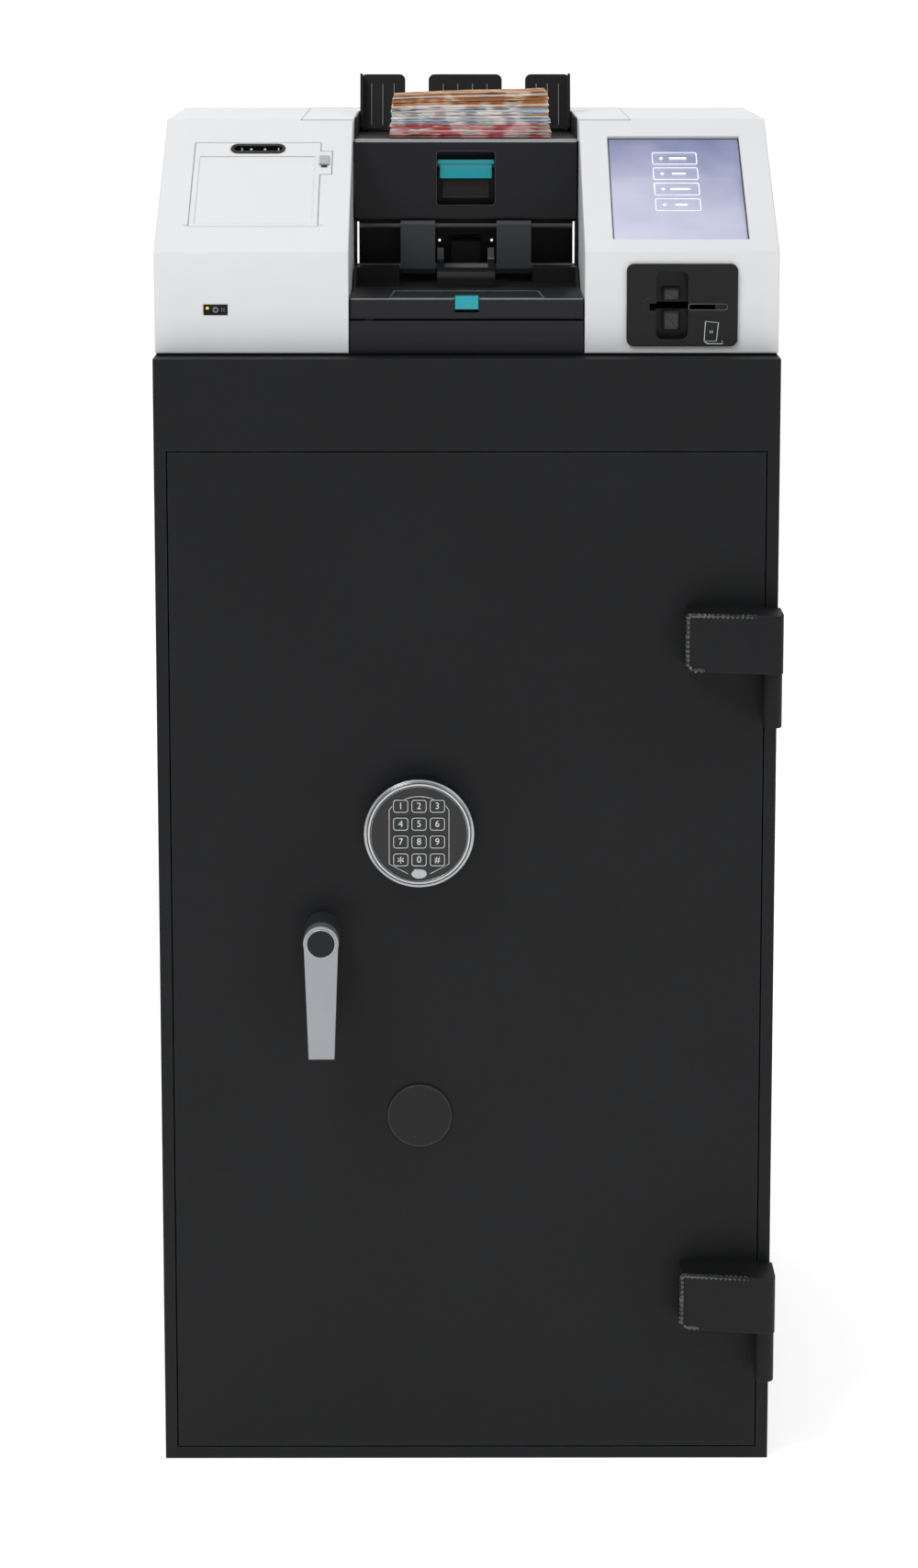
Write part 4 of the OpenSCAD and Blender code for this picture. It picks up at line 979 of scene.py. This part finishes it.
def draw_upper_panel():
    """The bright rim of the hopper, and charcoal lines at the edges of the paddle's recess and plate:
    painted highlights along those edges.
    """
    panel = low("upper_panel")
    width = high("upper_panel").x - panel.x
    rim = Plane((0, panel.y, hopper_z - FLOOR_THICK / 2))
    recess = Plane((0, panel.y, panel.z + 38.3 * MM))
    recess_highlight_line = round_outline(55.6 * MM, 51.2 * MM, 3.2 * MM)
    plate = Plane((0, panel.y + 11 * MM, panel.z + 25 * MM))
    half, foot, head, line_top = 21.4 * MM, -5 * MM, 12 * MM, 0.3 * MM

    def draw(made):
        slab(made, rim, round_outline(width, FLOOR_THICK, 0.5 * MM), -0.1 * MM, 0.5 * MM, 0.3 * MM)

    # Charcoal lines paler than the panel: painted highlights on the recess and plate edges.
    def draw_edges(made):
        frame_line(made, recess, recess_highlight_line, 0.7 * MM, -0.2 * MM, 0.25 * MM)
        for x in (-half, half):
            stroke(made, plate, [(x, foot), (x, head)], 0.6 * MM, 0, line_top)
        stroke(made, plate, [(-half, foot), (half, foot)], 0.5 * MM, 0, line_top)

    add_piece("hopper_rim", build(draw), "upper_unit", "bright_steel", bright_steel)
    add_piece("recess_highlight_line", build(draw_edges), "upper_unit", "black_plastic", charcoal)


LEAN = math.radians(14)
LEAN_REACH = 16.2 * MM  # how far a guide's top leans back from its foot


def draw_ribs():
    """A paler line on the crest of each rib of the guides behind the notes: a painted highlight."""
    guides = (
        ("back_guide", "upper_unit", 4),
        ("guide_left", "left_guide", 3),
        ("guide_right", "right_guide", 3),
    )
    foot_z, top_z = 6 * MM, 47 * MM
    for node, body, ribs in guides:
        width = high(node).x - low(node).x
        foot = (middle(node).x, high(node).y - LEAN_REACH, hopper_z)
        plane = Plane(foot, up=(0, math.sin(LEAN), math.cos(LEAN)))

        def draw(made):
            for i in range(ribs):
                x = -width / 2 + (i + 1) * width / (ribs + 1)
                stroke(made, plane, [(x, foot_z), (x, top_z)], 0.5 * MM, 0.9 * MM, 1.15 * MM)

        # Light grey lines on the rib crests: painted highlights.
        add_piece(node + "_crest_highlights", build(draw), body, "black_plastic", light_grey)


def draw_tray():
    """Painted highlights: a fine pale border round the recess on the tray's top and pale lines along its
    front edge.
    """
    start, end = low("tray_flap"), high("tray_flap")
    top = Plane((0, start.y, end.z), up=(0, 1, 0))
    border = [(x * MM, y * MM) for x, y in ((70, 5), (66, 70), (-66, 70), (-70, 5))]
    edge = Plane((0, start.y, end.z - 0.5 * MM))
    gap = 11.5 * MM  # each side of the middle, where the tab sits
    reach = end.x - gap

    # Both the border and the front lines are light grey painted highlights on edges.
    def draw(made):
        frame_line(made, top, border, 0.5 * MM, -0.6 * MM, 0.12 * MM)
        for side in (-1, 1):
            line = round_outline(reach, 0.7 * MM, 0.3 * MM, x=side * (gap + reach / 2))
            slab(made, edge, line, 0, 0.25 * MM, 0.1 * MM)

    add_piece("tray_edge_highlights", build(draw), "front_tray", "black_plastic", light_grey)


draw_pocket()
draw_upper_panel()
draw_ribs()
draw_tray()

# ---------------------------------------------------------------- rear, inside and small parts


def screw(made, plane, x, y, radius):
    """A cross-head screw: a bevelled head, with its two grooves drawn as dark bars."""
    head_top = 1.3 * MM
    length, width = 1.1 * radius, 0.26 * radius
    slab(made, plane, circle_points(radius, 24, x, y), 0, head_top, 0.6 * MM)
    for size in ((length, width), (width, length)):
        groove = round_outline(*size, 0.1 * radius, 2, x, y)
        slab(made, plane, groove, head_top - 0.05 * MM, head_top + 0.06 * MM, material=1)


def draw_rear():
    """Screws round the rear cover and a blank plate beside the mains socket."""
    start, end = low("rear_cover"), high("rear_cover")
    plane = Plane(((start.x + end.x) / 2, end.y, start.z), across=(-1, 0, 0))
    half = (end.x - start.x) / 2 - 14 * MM

    def draw(made):
        for x in (-half, -half / 3, half / 3, half):
            for y in (10 * MM, 88 * MM):
                screw(made, plane, x, y, 3.6 * MM)

    add_piece("rear_screws", build(draw), "frame", "zinc_steel", zinc_steel, inner_black)
    plate = round_outline(64 * MM, 40 * MM, 2 * MM, x=-80 * MM, y=48 * MM)
    add_piece(
        "rear_plate", build(lambda made: slab(made, plane, plate, 0, 0.5 * MM, 0.2 * MM)),
        "frame", "zinc_steel", bright_steel,
    )


def draw_door_inside():
    """Screws along the edges of the pressed tray behind the door, and a raised border."""
    start, end = low("door_pan"), high("door_pan")
    plane = Plane(((start.x + end.x) / 2, end.y, (start.z + end.z) / 2), across=(-1, 0, 0))
    inset = 16 * MM
    half_x, half_z = (end.x - start.x) / 2 - inset, (end.z - start.z) / 2 - inset
    border = round_outline(half_x * 1.2, half_z * 1.5, 24 * MM)

    def draw(made):
        for x in (-half_x, half_x):
            for share in (-1, -2 / 3, -1 / 3, 0, 1 / 3, 2 / 3, 1):
                screw(made, plane, x, half_z * share, 4 * MM)
        frame_line(made, plane, border, 7 * MM, -0.2 * MM, 1.1 * MM)

    add_piece("door_pan_screws", build(draw), "door", "zinc_steel", zinc_steel, inner_black)


def draw_cassette_fronts():
    """On each cassette: a lock, a window strip, a blank label and a small lamp."""
    start, end = low("note_cassettes"), high("note_cassettes")
    count = 4
    handle = 22 * MM  # how far the handles stand out from the fronts
    gap = 10 * MM
    height = (end.z - start.z - (count - 1) * gap) / count
    lock_x, lock_y, lock_top = 92 * MM, -40 * MM, 4 * MM
    label = round_outline(60 * MM, 22 * MM, 2 * MM, y=-52 * MM)
    lock = circle_points(9 * MM, 28, lock_x, lock_y)
    keyhole = round_outline(1.8 * MM, 8 * MM, 0.6 * MM, x=lock_x, y=lock_y)
    window = round_outline(10 * MM, 78 * MM, 4 * MM, x=-98 * MM)
    lamp = circle_points(2.2 * MM, 18, lock_x, 46 * MM)
    white, steel, black, green = range(4)

    def draw(made):
        for i in range(count):
            plane = Plane((0, start.y + handle, start.z + i * (height + gap) + height / 2))
            slab(made, plane, label, 0, 0.4 * MM, 0.2 * MM, white)
            slab(made, plane, lock, 0, lock_top, 1 * MM, steel)
            slab(made, plane, keyhole, lock_top, lock_top + 0.1 * MM, material=black)
            slab(made, plane, window, 0, 1.2 * MM, 0.5 * MM, black)
            slab(made, plane, lamp, 0, 1 * MM, 0.4 * MM, green)

    add_piece(
        "cassette_fronts", build(draw), "frame", "black_plastic",
        paper, bright_steel, gloss_black, glowing("lamp_green", "#43c06a", 0.8),
    )


draw_rear()
draw_door_inside()
draw_cassette_fronts()
